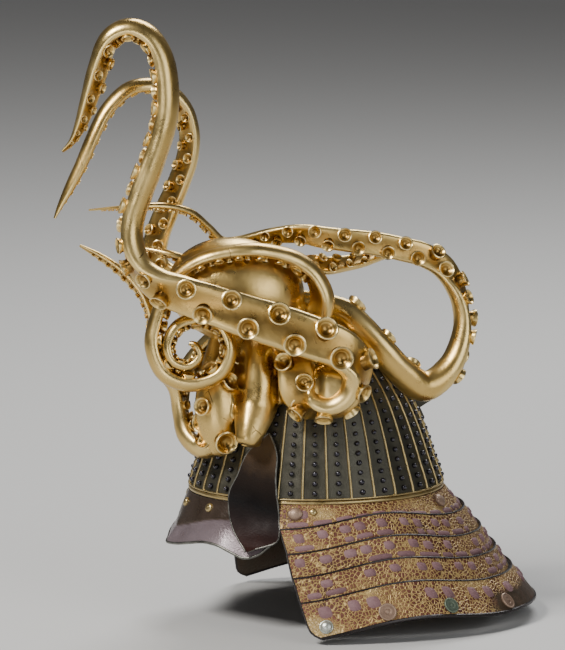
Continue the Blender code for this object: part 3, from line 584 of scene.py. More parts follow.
def ring_normal(turn_deg):
    """The level outward direction of the oval."""
    turn = math.radians(turn_deg)
    return Vector((math.sin(turn) / BOWL_HALF_WIDTH, -math.cos(turn) / BOWL_HALF_LENGTH, 0.0)).normalized()


def rib_turns():
    """The turn of each rib from the front."""
    return [FIRST_RIB_DEG + 360.0 / PLATE_COUNT * k for k in range(PLATE_COUNT)]


def guard_edge(level):
    """Drop share, spread share and front end at a level of the neck guard."""
    rows = rows_of(GUARD_EDGES)
    low = min(int(level), len(rows) - 2)
    part = level - low
    return {key: rows[low][key] + part * (rows[low + 1][key] - rows[low][key]) for key in rows[low]}


def guard_point(turn_deg, level, lift):
    """A point of the neck guard's outer face."""
    edge = guard_edge(level)
    turn = abs(turn_deg)
    swing = (turn - SHOULDER_DEG) / SHOULDER_SWEEP_DEG
    raised = SHOULDER_RISE * edge["drop"] ** SHOULDER_TOP_POWER * math.exp(-swing * swing)
    to_rear = clamp((turn - edge["front"]) / (REAR_DEG - edge["front"]))
    spread = GUARD_SPREAD * edge["spread"] * (FRONT_SPREAD_SHARE + (1.0 - FRONT_SPREAD_SHARE) * to_rear)
    fall = (GUARD_DROP - GUARD_TOP_DROP) * edge["drop"]
    fall *= FRONT_DROP_SHARE + (1.0 - FRONT_DROP_SHARE) * to_rear
    slope = (ring_normal(turn_deg) * GUARD_DROP + UP * GUARD_SPREAD).normalized()
    return ring_point(turn_deg, GUARD_TOP_REACH + spread, raised - GUARD_TOP_DROP - fall) + slope * lift


def surface_seat(at, turn_deg, level, reach):
    """The seat and outward normal on a face that is read by turn and level."""
    along = at(turn_deg + 1.0, level) - at(turn_deg - 1.0, level)
    down = at(turn_deg, level + reach) - at(turn_deg, level - reach)
    normal = along.cross(down).normalized()
    if normal.dot(ring_normal(turn_deg)) < 0:
        normal.negate()
    return at(turn_deg, level), normal


def display_axes():
    """Level axes of the display side: across and out."""
    turn = math.radians(CREST_TURN_DEG)
    return Vector((math.cos(turn), math.sin(turn), 0.0)), Vector((math.sin(turn), -math.cos(turn), 0.0))


def crest_axes():
    """Axes of the crest's display plane: across, up in the plane, and out of it."""
    lean = math.radians(CREST_LEAN_DEG)
    across, level = display_axes()
    out = level * math.cos(lean) + UP * math.sin(lean)
    return across, out.cross(across), out


CREST_ACROSS, CREST_RISE, CREST_OUT = crest_axes()


def crest_point(across, rise, out):
    """A place of the crest from its shares of the span."""
    return (CREST_ACROSS * across + CREST_RISE * rise + CREST_OUT * out) * CREST_SPAN


def arm_stations(table, count):
    """Even stations along a smooth curve through an arm's rows: place, half width, turn."""
    rows = [[value / 1000 for value in row[:4]] + [row[4]] for row in table]
    padded = [rows[0]] + rows + [rows[-1]]
    fine = []
    for k in range(len(rows) - 1):
        for step in range(ARM_STEPS):
            fine.append([curve_between(column, step / ARM_STEPS) for column in zip(*padded[k:k + 4])])
    fine.append(rows[-1])
    places = [crest_point(*row[:3]) for row in fine]
    travelled = [0.0]
    for a, b in zip(places, places[1:]):
        travelled.append(travelled[-1] + (b - a).length)
    stations = []
    at = 0
    for share in even(count):
        wanted = travelled[-1] * share
        while at < len(fine) - 2 and travelled[at + 1] < wanted:
            at += 1
        part = clamp((wanted - travelled[at]) / (travelled[at + 1] - travelled[at]))
        half, turn = [a + part * (b - a) for a, b in zip(fine[at][3:], fine[at + 1][3:])]
        stations.append((places[at].lerp(places[at + 1], part), max(half, ARM_MIN_HALF) * CREST_SPAN, turn))
    return stations


def arm_frames(stations):
    """Each station with its travel, side and sucker-face directions."""
    framed = []
    for k, (place, half, turn) in enumerate(stations):
        before = stations[max(k - 1, 0)][0]
        after = stations[min(k + 1, len(stations) - 1)][0]
        travel = (after - before).normalized()
        toward = (CREST_OUT - travel * CREST_OUT.dot(travel)).normalized()
        angle = math.radians(turn)
        face = toward * math.cos(angle) + toward.cross(travel) * math.sin(angle)
        framed.append((place, half, travel, travel.cross(face), face))
    return framed


def bowl_reach(rise):
    """Smooth share of the bowl's half-length at a share of its height."""
    rows = rows_of(BOWL_PROFILE) + [{"rise": 1.0, "reach": 0.0}]
    return max(smooth_between(rows, "rise", rise, "reach"), 0.0)


def bowl_face(turn_deg, rise, lift):
    """A point on the bowl's smooth outer face, lifted along its normal, and the normal."""
    low = max(rise - 0.01, 0.0)
    high = min(rise + 0.01, 0.999)
    run = (bowl_reach(low) - bowl_reach(high)) * (BOWL_HALF_LENGTH + BOWL_HALF_WIDTH) / 2
    normal = (ring_normal(turn_deg) * (high - low) * BOWL_HEIGHT + UP * run).normalized()
    foot = ring_point(turn_deg, 0.0, 0.0) * bowl_reach(rise) + UP * BOWL_HEIGHT * rise
    return foot + normal * lift, normal


def off_bowl(point):
    """Move a point that lies inside the bowl out to its face."""
    top = BOWL_HEIGHT + BOWL_CLEAR
    centre = UP * 0.012
    away = point - centre

    def inside(place):
        reach = bowl_reach(max(place.z, 0.0) / top)
        wide = BOWL_HALF_WIDTH * reach + BOWL_CLEAR
        along = BOWL_HALF_LENGTH * reach + BOWL_CLEAR
        return place.z < top and (place.x / wide) ** 2 + (place.y / along) ** 2 < 1.0

    if point.z < -0.002 or not inside(point):
        return point
    low, high = 1.0, 0.30 / away.length
    for _ in range(14):
        middle = (low + high) / 2
        if inside(centre + away * middle):
            low = middle
        else:
            high = middle
    return centre + away * high


def make_bowl():
    """Plates with a slight hollow between brass-edged ribs, and rows of rivets."""
    step = 360.0 / PLATE_COUNT
    parts = even(PLATE_COLUMNS + 1)[:-1]
    turns = [turn + part * step for turn in rib_turns() for part in parts]
    sags = [-PLATE_HOLLOW * math.sin(math.pi * part) for part in parts] * PLATE_COUNT
    plates = Shape()
    outer = []
    inner = []
    for share in even(BOWL_ROWS):
        rise = BOWL_TOP_SHARE * share
        outer.append(plates.ring([bowl_face(turn, rise, sag)[0] for turn, sag in zip(turns, sags)], 0.5))
        inner.append(plates.ring([bowl_face(turn, rise, -BOWL_WALL)[0] for turn in turns], 0.5))
    plates.skin(outer, False)
    plates.skin(inner, False)
    plates.faces += grid_faces([outer[0], inner[0]], True)
    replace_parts(plates.finish("bowl_skin", IRON, 60.0), "bowl_plates")
    ribs = Shape()
    studs = Shape()
    rises = [RIB_FOOT_SHARE + (RIB_TOP_SHARE - RIB_FOOT_SHARE) * part for part in even(RIB_STATIONS)]
    radii = [RIB_RADIUS - RIB_TAPER * part for part in even(RIB_STATIONS)]
    for turn in rib_turns():
        ribs.tube([bowl_face(turn, rise, RIB_LIFT)[0] for rise in rises], radii, 8, 0.8)
        for k in range(RIVET_ROWS):
            rise = RIVET_FIRST_SHARE + RIVET_PITCH_SHARE * k
            seat, normal = bowl_face(turn + step / 2, rise, -RIVET_SINK)
            size = RIVET_RADIUS * (1.0 - 0.02 * k) * DICE.uniform(0.94, 1.06)
            studs.turned(seat, normal, RIVET_PROFILE, size, 10)
    ribs.finish("bowl_rib_edging", BRASS)
    studs.finish("bowl_rivets", GLOSS)


def make_base_ring():
    """Brass bead with a finer line above it."""
    bead = Shape()
    turns = [360.0 * part for part in even(BEAD_STATIONS + 1)[:-1]]
    path = [ring_point(turn, -BOWL_WALL / 2, -BEAD_RADIUS - FIT_GAP) for turn in turns]
    bead.tube(path, BEAD_RADIUS * 0.96, 12, 0.7, True)
    path = [ring_point(turn, BEAD_LINE_LIFT, BEAD_LINE_LIFT) for turn in turns]
    bead.tube(path, BEAD_LINE_RADIUS, 8, 0.9, True)
    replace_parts(bead.finish("base_bead", BRASS), "base_ring")


def visor_face(turn_deg, share, lift):
    """A point of the visor's smooth outer face, share 0 at the bowl to 1 at the edge."""
    edge = rows_of(VISOR_EDGE)
    section = rows_of(VISOR_SECTION)
    step = share * section[-1]["step"]
    reach = smooth_between(edge, "turn", abs(turn_deg), "reach") * VISOR_REACH
    drop = smooth_between(edge, "turn", abs(turn_deg), "drop") * VISOR_DROP
    beak = math.exp(-(turn_deg / VISOR_BEAK_DEG) ** 2) * share ** 3 * VISOR_BEAK
    slope = (ring_normal(turn_deg) * drop + UP * reach).normalized()
    out = VISOR_TOP_REACH + smooth_between(section, "step", step, "reach") * (reach - VISOR_TOP_REACH) + beak
    down = VISOR_TOP_DROP + smooth_between(section, "step", step, "drop") * (drop - VISOR_TOP_DROP)
    return ring_point(turn_deg, out, -down) + slope * lift


def make_visor():
    """The brow plate: a rough upper band, a smooth lower face and a rolled edge."""
    rows = even(VISOR_ROWS)
    turns = [VISOR_EDGE[-1][0] * (2.0 * part - 1.0) for part in even(VISOR_COLUMNS)]
    front, tones = [], []
    for turn in turns:
        limit = 0.70 - 0.36 * min(abs(turn) / 42.0, 1.3) ** 1.2
        bands = [clamp((limit - share) / 0.05 + 0.5) for share in rows]
        lifts = [VISOR_BAND_LIFT * band - VISOR_SINK for band in bands]
        front.append([visor_face(turn, *at) for at in zip(rows, lifts)])
        tones.append([1.0 - band for band in bands])
    back = [[visor_face(turn, share, -VISOR_WALL) for share in rows] for turn in turns]
    shape = Shape()
    shape.plate(front, back, tones, 0.5)
    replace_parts(shape.finish("visor_plate", VISOR_LACQUER, 40.0), "visor")
    rim = Shape()
    rim.tube([visor_face(turn, 1.0, -VISOR_WALL / 2) for turn in turns], VISOR_RIM_RADIUS, 10, 0.9)
    rim.finish("visor_rim", STEEL_RIM)
    studs = Shape()
    for turn in (-VISOR_RIVET_DEG, 0.0, VISOR_RIVET_DEG):
        seat, normal = surface_seat(lambda *at: visor_face(*at, 0.0002), turn, VISOR_RIVET_SHARE, 0.10)
        studs.turned(seat, normal, VISOR_RIVET_PROFILE, VISOR_RIVET_RADIUS, 24)
    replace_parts(studs.finish("visor_rivet_heads", BRASS), *["visor_rivet_%d" % k for k in (1, 2, 3)])


def ear_grids(sign):
    """Front and back of a leaf and its tones, row by row from the foot; sign -1 mirrors it."""
    across, out = display_axes()
    reach = math.hypot(BOWL_HALF_WIDTH * across.x, BOWL_HALF_LENGTH * across.y) * EAR_FORWARD_SHARE
    stand_out = math.hypot(BOWL_HALF_WIDTH * out.x, BOWL_HALF_LENGTH * out.y) * EAR_STAND_SHARE
    mirror = Vector((sign, 1.0, 1.0))
    rows = rows_of(EAR_ROWS)
    front, back, tones = [], [], []
    for rise in even(EAR_STEPS):
        rim, root, rim_out, root_out = [smooth_between(rows, "rise", rise, key) for key in EAR_ROWS[0][1:]]
        cap = 0.985 * max(rise - EAR_ROUND_FROM, 0.0) / (1.0 - EAR_ROUND_FROM)
        pinch = 0.5 * (root - rim) * (1.0 - math.sqrt(1.0 - cap * cap))
        rim += pinch
        root -= pinch
        line = []
        for part in even(EAR_COLUMNS):
            dish = math.sin(math.pi * part) * math.sin(math.pi * min(rise * 1.05, 1.0))
            stand = stand_out * (rim_out + part * (root_out - rim_out))
            stand += EAR_FLARE * (1.0 - part) ** 3 - EAR_DISH * dish
            point = out * stand - across * reach * (rim + part * (root - rim))
            point.z = EAR_FOOT + EAR_HEIGHT * rise
            line.append(point)
        front.append([point * mirror for point in line])
        back.append([(point - out * EAR_WALL) * mirror for point in line])
        tones.append([clamp(rise * 1.15 + 0.10 * (part - 0.5)) for part in even(EAR_COLUMNS)])
    return front, back, tones


def make_ears():
    """The turned-back leaves, dished, with a thin bright rim."""
    for side, sign in (("left", 1.0), ("right", -1.0)):
        front, back, tones = ear_grids(sign)
        leaf = Shape()
        leaf.plate(front, back, tones)
        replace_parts(leaf.finish("ear_leaf_" + side, EAR_LACQUER, 40.0), "turnback_" + side)
        middle = [[(a + b) / 2 for a, b in zip(*rows)] for rows in zip(front, back)]
        edge = [row[0] for row in middle] + middle[-1][1:] + [row[-1] for row in middle[-2::-1]]
        rim = Shape()
        rim.tube(edge, EAR_RIM_RADIUS, 8, 0.8)
        rim.finish("ear_rim_" + side, STEEL_RIM)


def lame_face(number, share, turn_share, lift):
    """A point on a lame: share 0 at its top to 1 at its edge, from one front end to the other."""
    overlap = 0.0 if number == 1 else LAME_OVERLAP
    top = number - 1 - overlap
    hidden = 0.8 * overlap / (1.0 + overlap)
    share = hidden + share * (1.0 - hidden)
    start = guard_edge(top)["front"] + share * (guard_edge(float(number))["front"] - guard_edge(top)["front"])
    if number == LAME_COUNT:
        start += 2.4 * max(share - 0.72, 0.0) ** 2 / 0.28 ** 2
    turn = start + (360.0 - 2 * start) * turn_share
    if turn > 180.0:
        turn -= 360.0
    step = 0.0 if number == 1 else LAME_STEP
    return guard_point(turn, top, step + lift).lerp(guard_point(turn, float(number), lift), share)


def make_lame(number):
    """One plate of crackled gilt leather, dark at the rear of the hem and bare at its front ends."""
    front, back, tones = [], [], []
    for share in even(LAME_ROWS):
        line = []
        tone = []
        level = number - 1 + share
        for part in even(LAME_COLUMNS):
            seed = Vector((part * 40.0, share * 3.0, number * 5.0))
            line.append(lame_face(number, share, part, LAME_WALL + LAME_RUFFLE * noise.noise(seed * 2.0)))
            rear = clamp((level - 4.25) / 0.3) * math.exp(-((part - 0.5) / 0.22) ** 2)
            ends = clamp((level - 4.3) / 0.4) * math.exp(-((0.5 - abs(part - 0.5)) / 0.05) ** 2)
            tone.append(clamp(0.52 + 0.42 * noise.noise(seed * 0.35) + 0.9 * ends - 0.8 * rear))
        front.append(line)
        back.append([lame_face(number, share, part, 0.0) for part in even(LAME_COLUMNS)])
        tones.append(tone)
    sheet = Shape()
    sheet.plate(front, back, tones, 0.0)
    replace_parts(sheet.finish("guard_lame_%d" % number, GILT_LEATHER, 40.0), "lame_%d" % number)


def lame_edges_and_shadow_line(shape, number):
    """The dark upper edge, hem and front ends of a lame; the near-black upper edge is painted shadow, the
    shade line along the lap.
    """
    # The near-black tube at the top of each lower lame is painted shadow: the dark shade line along the lap.
    if number > 1:
        path = [lame_face(number, 0.0, part, LAME_WALL * 0.8) for part in even(LAME_COLUMNS)]
        shape.tube(path, LAP_SHADOW_LINE_RADIUS, EDGE_SIDES, 0.2)
    if number == LAME_COUNT:
        path = [lame_face(number, 1.0, part, LAME_WALL / 2) for part in even(LAME_COLUMNS)]
        shape.tube(path, HEM_RADIUS, EDGE_SIDES, 0.3)
    for end in (0.0, 1.0):
        path = [lame_face(number, share, end, LAME_WALL / 2) for share in even(LAME_ROWS)]
        shape.tube(path, FRONT_EDGE_RADIUS, EDGE_SIDES, 0.4)


def patch(shape, number, share, turn_share, high, wide, lift, tone):
    """A low pillow on a lame."""
    rings = []
    steps = [2.0 * part - 1.0 for part in even(5)]
    for v in steps:
        line = []
        for u in steps:
            round_off = 1.0 - (abs(u) * abs(v)) ** 2 * 0.22
            dome = (1.0 - abs(u) ** 6) * (1.0 - abs(v) ** 6)
            line.append(lame_face(
                number,
                clamp(share + v * high * round_off),
                min(max(turn_share + u * wide * round_off, 0.001), 0.999),
                LAME_WALL + lift * (dome - 0.35),
            ))
        rings.append(shape.ring(line, tone))
    shape.faces += grid_faces(rings, False)


def lace(shape, number):
    """A band of uneven lengths low on a lame, and the pairs of cord patches above it."""
    at = 0.010
    while number < LAME_COUNT and at < 0.985:
        wide = DICE.uniform(0.008, 0.024)
        if noise.noise(Vector((at * 11.0, number * 3.1, 0.5))) > -0.28:
            patch(shape, number, 0.76 + DICE.uniform(-0.02, 0.02), at + wide, DICE.uniform(0.12, 0.16),
                  wide, LACE_BAND_LIFT, DICE.uniform(0.25, 0.8))
        at += 2.0 * wide + DICE.uniform(0.0, 0.002)
    front = guard_edge(float(number))["front"]
    for turn in LACE_TURNS:
        if DICE.random() >= (0.12 if number == 1 else 0.93):
            continue
        for sign in (1, -1):
            middle = 0.5 + sign * (0.5 - (turn - front) / (360.0 - 2 * front))
            if 0.01 < middle < 0.99:
                patch(shape, number, 0.36 + DICE.uniform(-0.03, 0.03), middle, DICE.uniform(0.19, 0.22),
                      LACE_PATCH_HALF * DICE.uniform(0.88, 1.08), LACE_PATCH_LIFT, DICE.uniform(0.35, 1.0))


def make_guard():
    """The laced plates with their lacing, dark edges and the painted shadow line along each lap."""
    lacing = Shape()
    edges_and_shadow_lines = Shape()
    for number in range(1, LAME_COUNT + 1):
        make_lame(number)
        lame_edges_and_shadow_line(edges_and_shadow_lines, number)
        lace(lacing, number)
    lacing.finish("guard_lacing", LACING, 60.0)
    edges_and_shadow_lines.finish("guard_edges_and_shadow_lines", DARK_RIM_AND_SHADOW)


def hem_face(turn, level):
    """A point of the last lame's outer face."""
    lap = LAME_COUNT - 1 - LAME_OVERLAP
    upper = guard_point(turn, lap, LAME_WALL + LAME_STEP)
    return upper.lerp(guard_point(turn, float(LAME_COUNT), LAME_WALL), (level - lap) / (LAME_COUNT - lap))


def top_face(turn, level):
    """A point of the first lame's outer face."""
    return guard_point(turn, 0.0, LAME_WALL).lerp(guard_point(turn, 1.0, LAME_WALL), level)


def make_disc(side, sign, number, row):
    """A disc on the hem; the first is a dome with three studs."""
    radius = row["radius"]
    seat, normal = surface_seat(hem_face, sign * row["turn"], DISC_LEVEL, SEAT_STEP)
    disc = Shape()
    disc.turned(seat, normal, DOME_PROFILE if number == 1 else DISC_PROFILE, radius, 32)
    if number == 1:
        rest = normal.orthogonal().normalized()
        for k in range(3):
            arm = Matrix.Rotation(2 * math.pi * k / 3, 3, normal) @ rest
            disc.turned(seat + (arm + normal) * 0.42 * radius, normal, STUD_PROFILE, DISC_STUD_RADIUS, 10)
    finish = (SILVER, TAN_METAL, GREEN_METAL, TAN_METAL)[number - 1]
    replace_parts(disc.finish("hem_boss_%s_%d" % (side, number), finish), "hem_disc_%s_%d" % (side, number))


def make_boss(side, sign, number, row):
    """A boss on the top plate; a large one has two lobes beside it."""
    seat, normal = surface_seat(top_face, sign * row["turn"], row["level"], SEAT_STEP)
    boss = Shape()
    radius = BOSS_RADIUS * row["size"]
    boss.turned(seat, normal, KNOB_PROFILE, radius, 24)
    if row["size"] == 1.0:
        along = normal.cross(UP).normalized()
        for shift in (-0.55, 0.5):
            place = seat + along * shift * radius + normal * 0.15 * radius
            boss.turned(place, normal, KNOB_PROFILE, radius * 0.62, 16)
    finish = BRASS if number == 2 else TAN_METAL
    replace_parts(boss.finish("top_boss_%s_%d" % (side, number), finish), "lame_boss_%s_%d" % (side, number))


def make_guard_trim():
    """Discs on the hem and bosses on the top plate, the same on both sides."""
    for table, make in ((HEM_DISCS, make_disc), (TOP_BOSSES, make_boss)):
        for number, row in enumerate(rows_of(table), 1):
            make("left", 1, number, row)
            make("right", -1, number, row)


def fine_ring(place, half, side, face):
    """Points and tones of one fine arm section; the tones paint shade down the middle of the sucker face,
    between the suckers.
    """
    points = []
    tones = []
    for wide, high in FINE_SECTION + tuple((-wide, high) for wide, high in FINE_SECTION[-2:0:-1]):
        points.append(place + side * wide * half + face * high * half)
        # Painted shade on the sucker face: darkest in its middle, lightest at its edges; the sides get 0.80
        # and the back 0.55.
        if high > 0.3:
            tones.append(min(0.30 + 0.75 * abs(wide) ** 2.5, 1.0))
        else:
            tones.append(0.80 if high > -0.3 else 0.55)
    return points, tones


def arm_suckers(shape, framed, sizes, skip):
    """Two staggered rows of suckers along the sucker face."""
    start, end, switch = sizes
    gone = 0.0
    wanted = skip
    sign = 1
    for number, (before, here) in enumerate(zip(framed, framed[1:])):
        place, half, travel, side, face = here
        gone += (place - before[0]).length
        if gone < wanted:
            continue
        blend = clamp((number / len(framed) - switch) / 0.12 + 0.5)
        radius = (start + blend * (end - start)) * half
        wanted = gone + SUCKER_PITCH * radius
        sign = -sign
        radius *= DICE.uniform(0.93, 1.06)
        if radius < SUCKER_MIN_RADIUS:
            continue
        shift = min(SUCKER_SHIFT * half, 0.92 * half - 0.8 * radius)
        tilt = math.radians(SUCKER_SPLAY_DEG + DICE.uniform(-5.0, 5.0)) * sign
        normal = face * math.cos(tilt) + side * math.sin(tilt) + travel * DICE.uniform(-0.07, 0.07)
        seat = place + side * sign * shift + face * 0.36 * half
        shape.turned(seat, normal.normalized(), SUCKER_PROFILE, radius, SUCKER_SIDES)


def make_arm(name, rows, count, sizes, skip, fuller):
    """One arm with its suckers."""
    shape = Shape()

    def frames(steps):
        found = arm_frames(arm_stations(rows, steps))
        return [(at[0], at[1] * (1.0 + fuller * k / steps), *at[2:]) for k, at in enumerate(found)]

    rings = []
    for place, half, _, side, face in frames(count):
        swell = 1.0 + 0.03 * noise.noise(place * 55.0)
        points, tones = fine_ring(place, half * swell, side, face)
        rings.append(shape.ring([off_bowl(point) for point in points], tones))
    shape.skin(rings)
    arm_suckers(shape, frames(count * 3), sizes, skip)
    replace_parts(shape.finish("gilt_" + name, GOLD, 60.0), name)


def lump(shape, place, length, height, depth, tilt_deg):
    """An egg-shaped body on the crest's axes, turned in the display plane."""
    angle = math.radians(tilt_deg)
    long_way = CREST_ACROSS * math.cos(angle) + CREST_RISE * math.sin(angle)
    high_way = CREST_RISE * math.cos(angle) - CREST_ACROSS * math.sin(angle)
    levels = 24
    rings = []
    for k in range(levels):
        lift = math.pi * (k + 0.5) / levels
        middle = crest_point(*place) + high_way * height / 2 * math.cos(lift)
        line = circle(middle, long_way * length, CREST_OUT * depth, math.sin(lift) / 2, 40)
        rings.append(shape.ring(line, 0.5))
    shape.skin(rings)


def melted(shape):
    """The gathered bodies fused into one smooth skin: its points and faces."""
    work = linked("melting", outward_mesh("melting", shape.verts, shape.faces))
    remesh = work.modifiers.new("remesh", "REMESH")
    remesh.mode = "VOXEL"
    remesh.voxel_size = BODY_VOXEL
    smooth = work.modifiers.new("smooth", "SMOOTH")
    smooth.factor = 0.6
    smooth.iterations = BODY_SMOOTH_STEPS
    done = work.evaluated_get(bpy.context.evaluated_depsgraph_get()).to_mesh()
    verts = [v.co.copy() for v in done.vertices]
    faces = [tuple(f.vertices) for f in done.polygons]
    bpy.data.objects.remove(work, do_unlink=True)
    return verts, faces


def make_body():
    """Lumps, web and folds melted into one carved body, with its suckers."""
    shape = Shape()
    for row in BODY_LUMPS:
        lump(shape, *row)
    for rows, count in BODY_FOLDS:
        framed = arm_frames(arm_stations(rows, count))
        shape.skin([shape.ring(fine_ring(at[0], at[1], *at[3:])[0], 0.5) for at in framed])
    verts, faces = melted(shape)
    tones = []
    for k, point in enumerate(verts):
        across, rise, out = [point.dot(axis) / CREST_SPAN for axis in (CREST_ACROSS, CREST_RISE, CREST_OUT)]
        # An even tone of 0.62, changed in each dent by its tone column; negative values are painted shade in
        # the dents.
        tone = 0.62
        lift = 0.0
        dents_and_shade = BODY_DENTS_AND_SHADE if out > 0.10 else ()
        for at_across, at_rise, wide, high, push, shade in dents_and_shade:
            pull = math.exp(-((across - at_across) / wide) ** 2 - ((rise - at_rise) / high) ** 2)
            lift += push * pull
            tone += shade * pull
        verts[k] = off_bowl(point + CREST_OUT * lift)
        tones.append(clamp(tone))
    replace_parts(piece("gilt_body", verts, faces, tones, GOLD, 80.0), "octopus_body")
    skin = BVHTree.FromPolygons(verts, faces)
    cups = Shape()
    for across, rise, radius in BODY_CUPS:
        seat, normal = skin.ray_cast(crest_point(across, rise, 0.6), -CREST_OUT)[:2]
        if normal.dot(CREST_OUT) < 0.0:
            normal.negate()
        cups.turned(seat - normal * 0.12 * radius, normal, SUCKER_PROFILE, radius, SUCKER_SIDES)
    cups.finish("gilt_body_suckers", GOLD, 60.0)


def fill(tree, shader, values):
    """Set a node's inputs to values, or link them to sockets."""
    for name, value in values.items():
        if isinstance(value, bpy.types.NodeSocket):
            tree.links.new(value, shader.inputs[name])
        else:
            shader.inputs[name].default_value = value


def node(tree, kind, values, **settings):
    """A shader node with its settings and inputs."""
    made = tree.nodes.new("ShaderNode" + kind)
    for name, value in settings.items():
        setattr(made, name, value)
    fill(tree, made, values)
    return made


def ranged(tree, value, low, high, start=0.0, end=1.0):
    """A value's stretch from low to high, read as start to end."""
    values = {"Value": value, "From Min": low, "From Max": high, "To Min": start, "To Max": end}
    return node(tree, "MapRange", values).outputs["Result"]


def combined(tree, operation, first, second):
    """Two values joined by arithmetic."""
    return node(tree, "Math", {0: first, 1: second}, operation=operation).outputs["Value"]


def ramp(tree, value, stops):
    """The colours that a value picks between stops of place, red, green and blue."""
    made = node(tree, "ValToRGB", {"Fac": value})
    band = made.color_ramp
    while len(band.elements) < len(stops):
        band.elements.new(0.5)
    for element, (at, *colour) in zip(band.elements, stops):
        element.position = at
        element.color = (*colour, 1.0)
    return made.outputs["Color"]


def surface(name, slot, stops, metallic, rough, grain, bump, toned, rough_spread=0.12, coat=0.0, shine=0.5,
            cracks=0.0, crack_scale=30.0, crack_width=0.02, crack_colour=(0.05, 0.02, 0.01)):
    """A worn procedural finish: colours by tone and grain, fine bumps, uneven gloss, cracks; the tone
    attribute carries painted shade on the gilt and the turned pieces.
    """
    made = bpy.data.materials.new(name)
    made.use_nodes = True
    tree = made.node_tree
    place = node(tree, "TexCoord", {}).outputs["Object"]
    values = {"Vector": place, "Scale": grain, "Detail": 8.0, "Roughness": 0.62}
    coarse = node(tree, "TexNoise", values).outputs["Fac"]
    height = node(tree, "TexNoise", {"Vector": place, "Scale": grain * 9.0, "Detail": 4.0}).outputs["Fac"]
    tone = node(tree, "Attribute", {}, attribute_name="tone").outputs["Fac"]
    blend = node(tree, "Mix", {"Factor": toned, "A": coarse, "B": tone}).outputs["Result"]
    shade = ramp(tree, blend, stops)
    if cracks:
        cells = node(tree, "TexVoronoi", {"Vector": place, "Scale": crack_scale}, feature="DISTANCE_TO_EDGE")
        line = ranged(tree, cells.outputs["Distance"], 0.0, crack_width, 1.0, 0.0)
        where = ranged(tree, coarse, 1.0 - cracks, 1.04 - cracks)
        raised = ranged(tree, tone, 0.05, 0.35)
        crack = combined(tree, "MULTIPLY", line, combined(tree, "MULTIPLY", where, raised))
        values = {"Factor": crack, "A": shade, "B": (*crack_colour, 1.0)}
        shade = node(tree, "Mix", values, data_type="RGBA").outputs["Result"]
        height = combined(tree, "SUBTRACT", height, crack)
    relief = node(tree, "Bump", {"Strength": bump, "Distance": BUMP_DEPTH, "Height": height})
    fill(tree, tree.nodes["Principled BSDF"], {
        "Base Color": shade,
        "Metallic": metallic,
        "Roughness": ranged(tree, coarse, 0.3, 0.7, rough - rough_spread, rough + rough_spread),
        "Normal": relief.outputs["Normal"],
        "Coat Weight": coat,
        "Coat Roughness": 0.15,
        "Specular IOR Level": shine,
    })
    return slot, made


def make_lights():
    """Large soft lamps, a pale floor and an even pale surround."""
    for name, place, size, power, colour in LAMPS:
        lamp = bpy.data.lights.new(name, "AREA")
        lamp.energy = power
        lamp.size = size
        lamp.color = colour
        made = linked(name, lamp)
        made.location = place
        made.rotation_euler = (Vector(place) - UP * LAMP_AIM).to_track_quat("Z", "Y").to_euler()
    world = bpy.data.worlds.new("surround")
    world.use_nodes = True
    tree = world.node_tree
    fill(tree, tree.nodes["Background"], {"Color": (0.14, 0.14, 0.145, 1.0), "Strength": 0.6})
    bpy.context.scene.world = world
    mesh = bpy.data.meshes.new("floor")
    corners = [(FLOOR_HALF * x, FLOOR_HALF * y, 0.0) for x, y in ((-1, -1), (1, -1), (1, 1), (-1, 1))]
    mesh.from_pydata(corners, [], [(0, 1, 2, 3)])
    floor = linked("floor", mesh)
    floor.location.z = CAD_BOX[0][2] - FLOOR_GAP
    pale = bpy.data.materials.new("pale_floor")
    pale.use_nodes = True
    tree = pale.node_tree
    fill(tree, tree.nodes["Principled BSDF"], {"Base Color": (0.62, 0.62, 0.61, 1.0), "Roughness": 0.75})
    mesh.materials.append(pale)


def make_camera():
    """The photograph's place: level with the helmet, seen from its left side."""
    target = CREST_ACROSS * VIEW_ACROSS + CREST_RISE * VIEW_RISE
    lens = bpy.data.cameras.new("camera")
    lens.sensor_fit = "VERTICAL"
    lens.sensor_height = 36.0
    lens.lens = lens.sensor_height * VIEW_DISTANCE / VIEW_HEIGHT
    lens.clip_end = 50.0
    made = linked("camera", lens)
    turn = Matrix((CREST_ACROSS, CREST_RISE, CREST_OUT)).transposed().to_4x4()
    made.matrix_world = Matrix.Translation(target + CREST_OUT * VIEW_DISTANCE) @ turn
    bpy.context.scene.camera = made


IRON = surface("dark_iron", "iron", (
    (0.0, 0.024, 0.022, 0.016), (0.45, 0.064, 0.06, 0.042), (0.75, 0.1, 0.092, 0.07),
    (1.0, 0.17, 0.155, 0.13),
), metallic=0.6, rough=0.44, grain=90.0, bump=0.35, toned=0.3)
BRASS = surface("aged_brass", "brass", (
    (0.0, 0.14, 0.09, 0.03), (0.5, 0.42, 0.31, 0.13), (1.0, 0.72, 0.58, 0.3),
), metallic=0.9, rough=0.34, grain=70.0, bump=0.12, toned=0.5)
GLOSS = surface("black_rivets", "iron", (
    (0.0, 0.01, 0.009, 0.012), (0.6, 0.022, 0.02, 0.03), (1.0, 0.06, 0.055, 0.075),
), metallic=0.6, rough=0.2, grain=120.0, bump=0.05, toned=0.4, coat=0.6, rough_spread=0.05)
VISOR_LACQUER = surface("visor_lacquer", "lacquer", (
    (0.0, 0.03, 0.02, 0.013), (0.35, 0.075, 0.05, 0.035), (0.62, 0.135, 0.1, 0.104),
    (1.0, 0.25, 0.2, 0.22),
), metallic=0.3, rough=0.36, grain=55.0, bump=0.55, toned=0.66, coat=0.25)
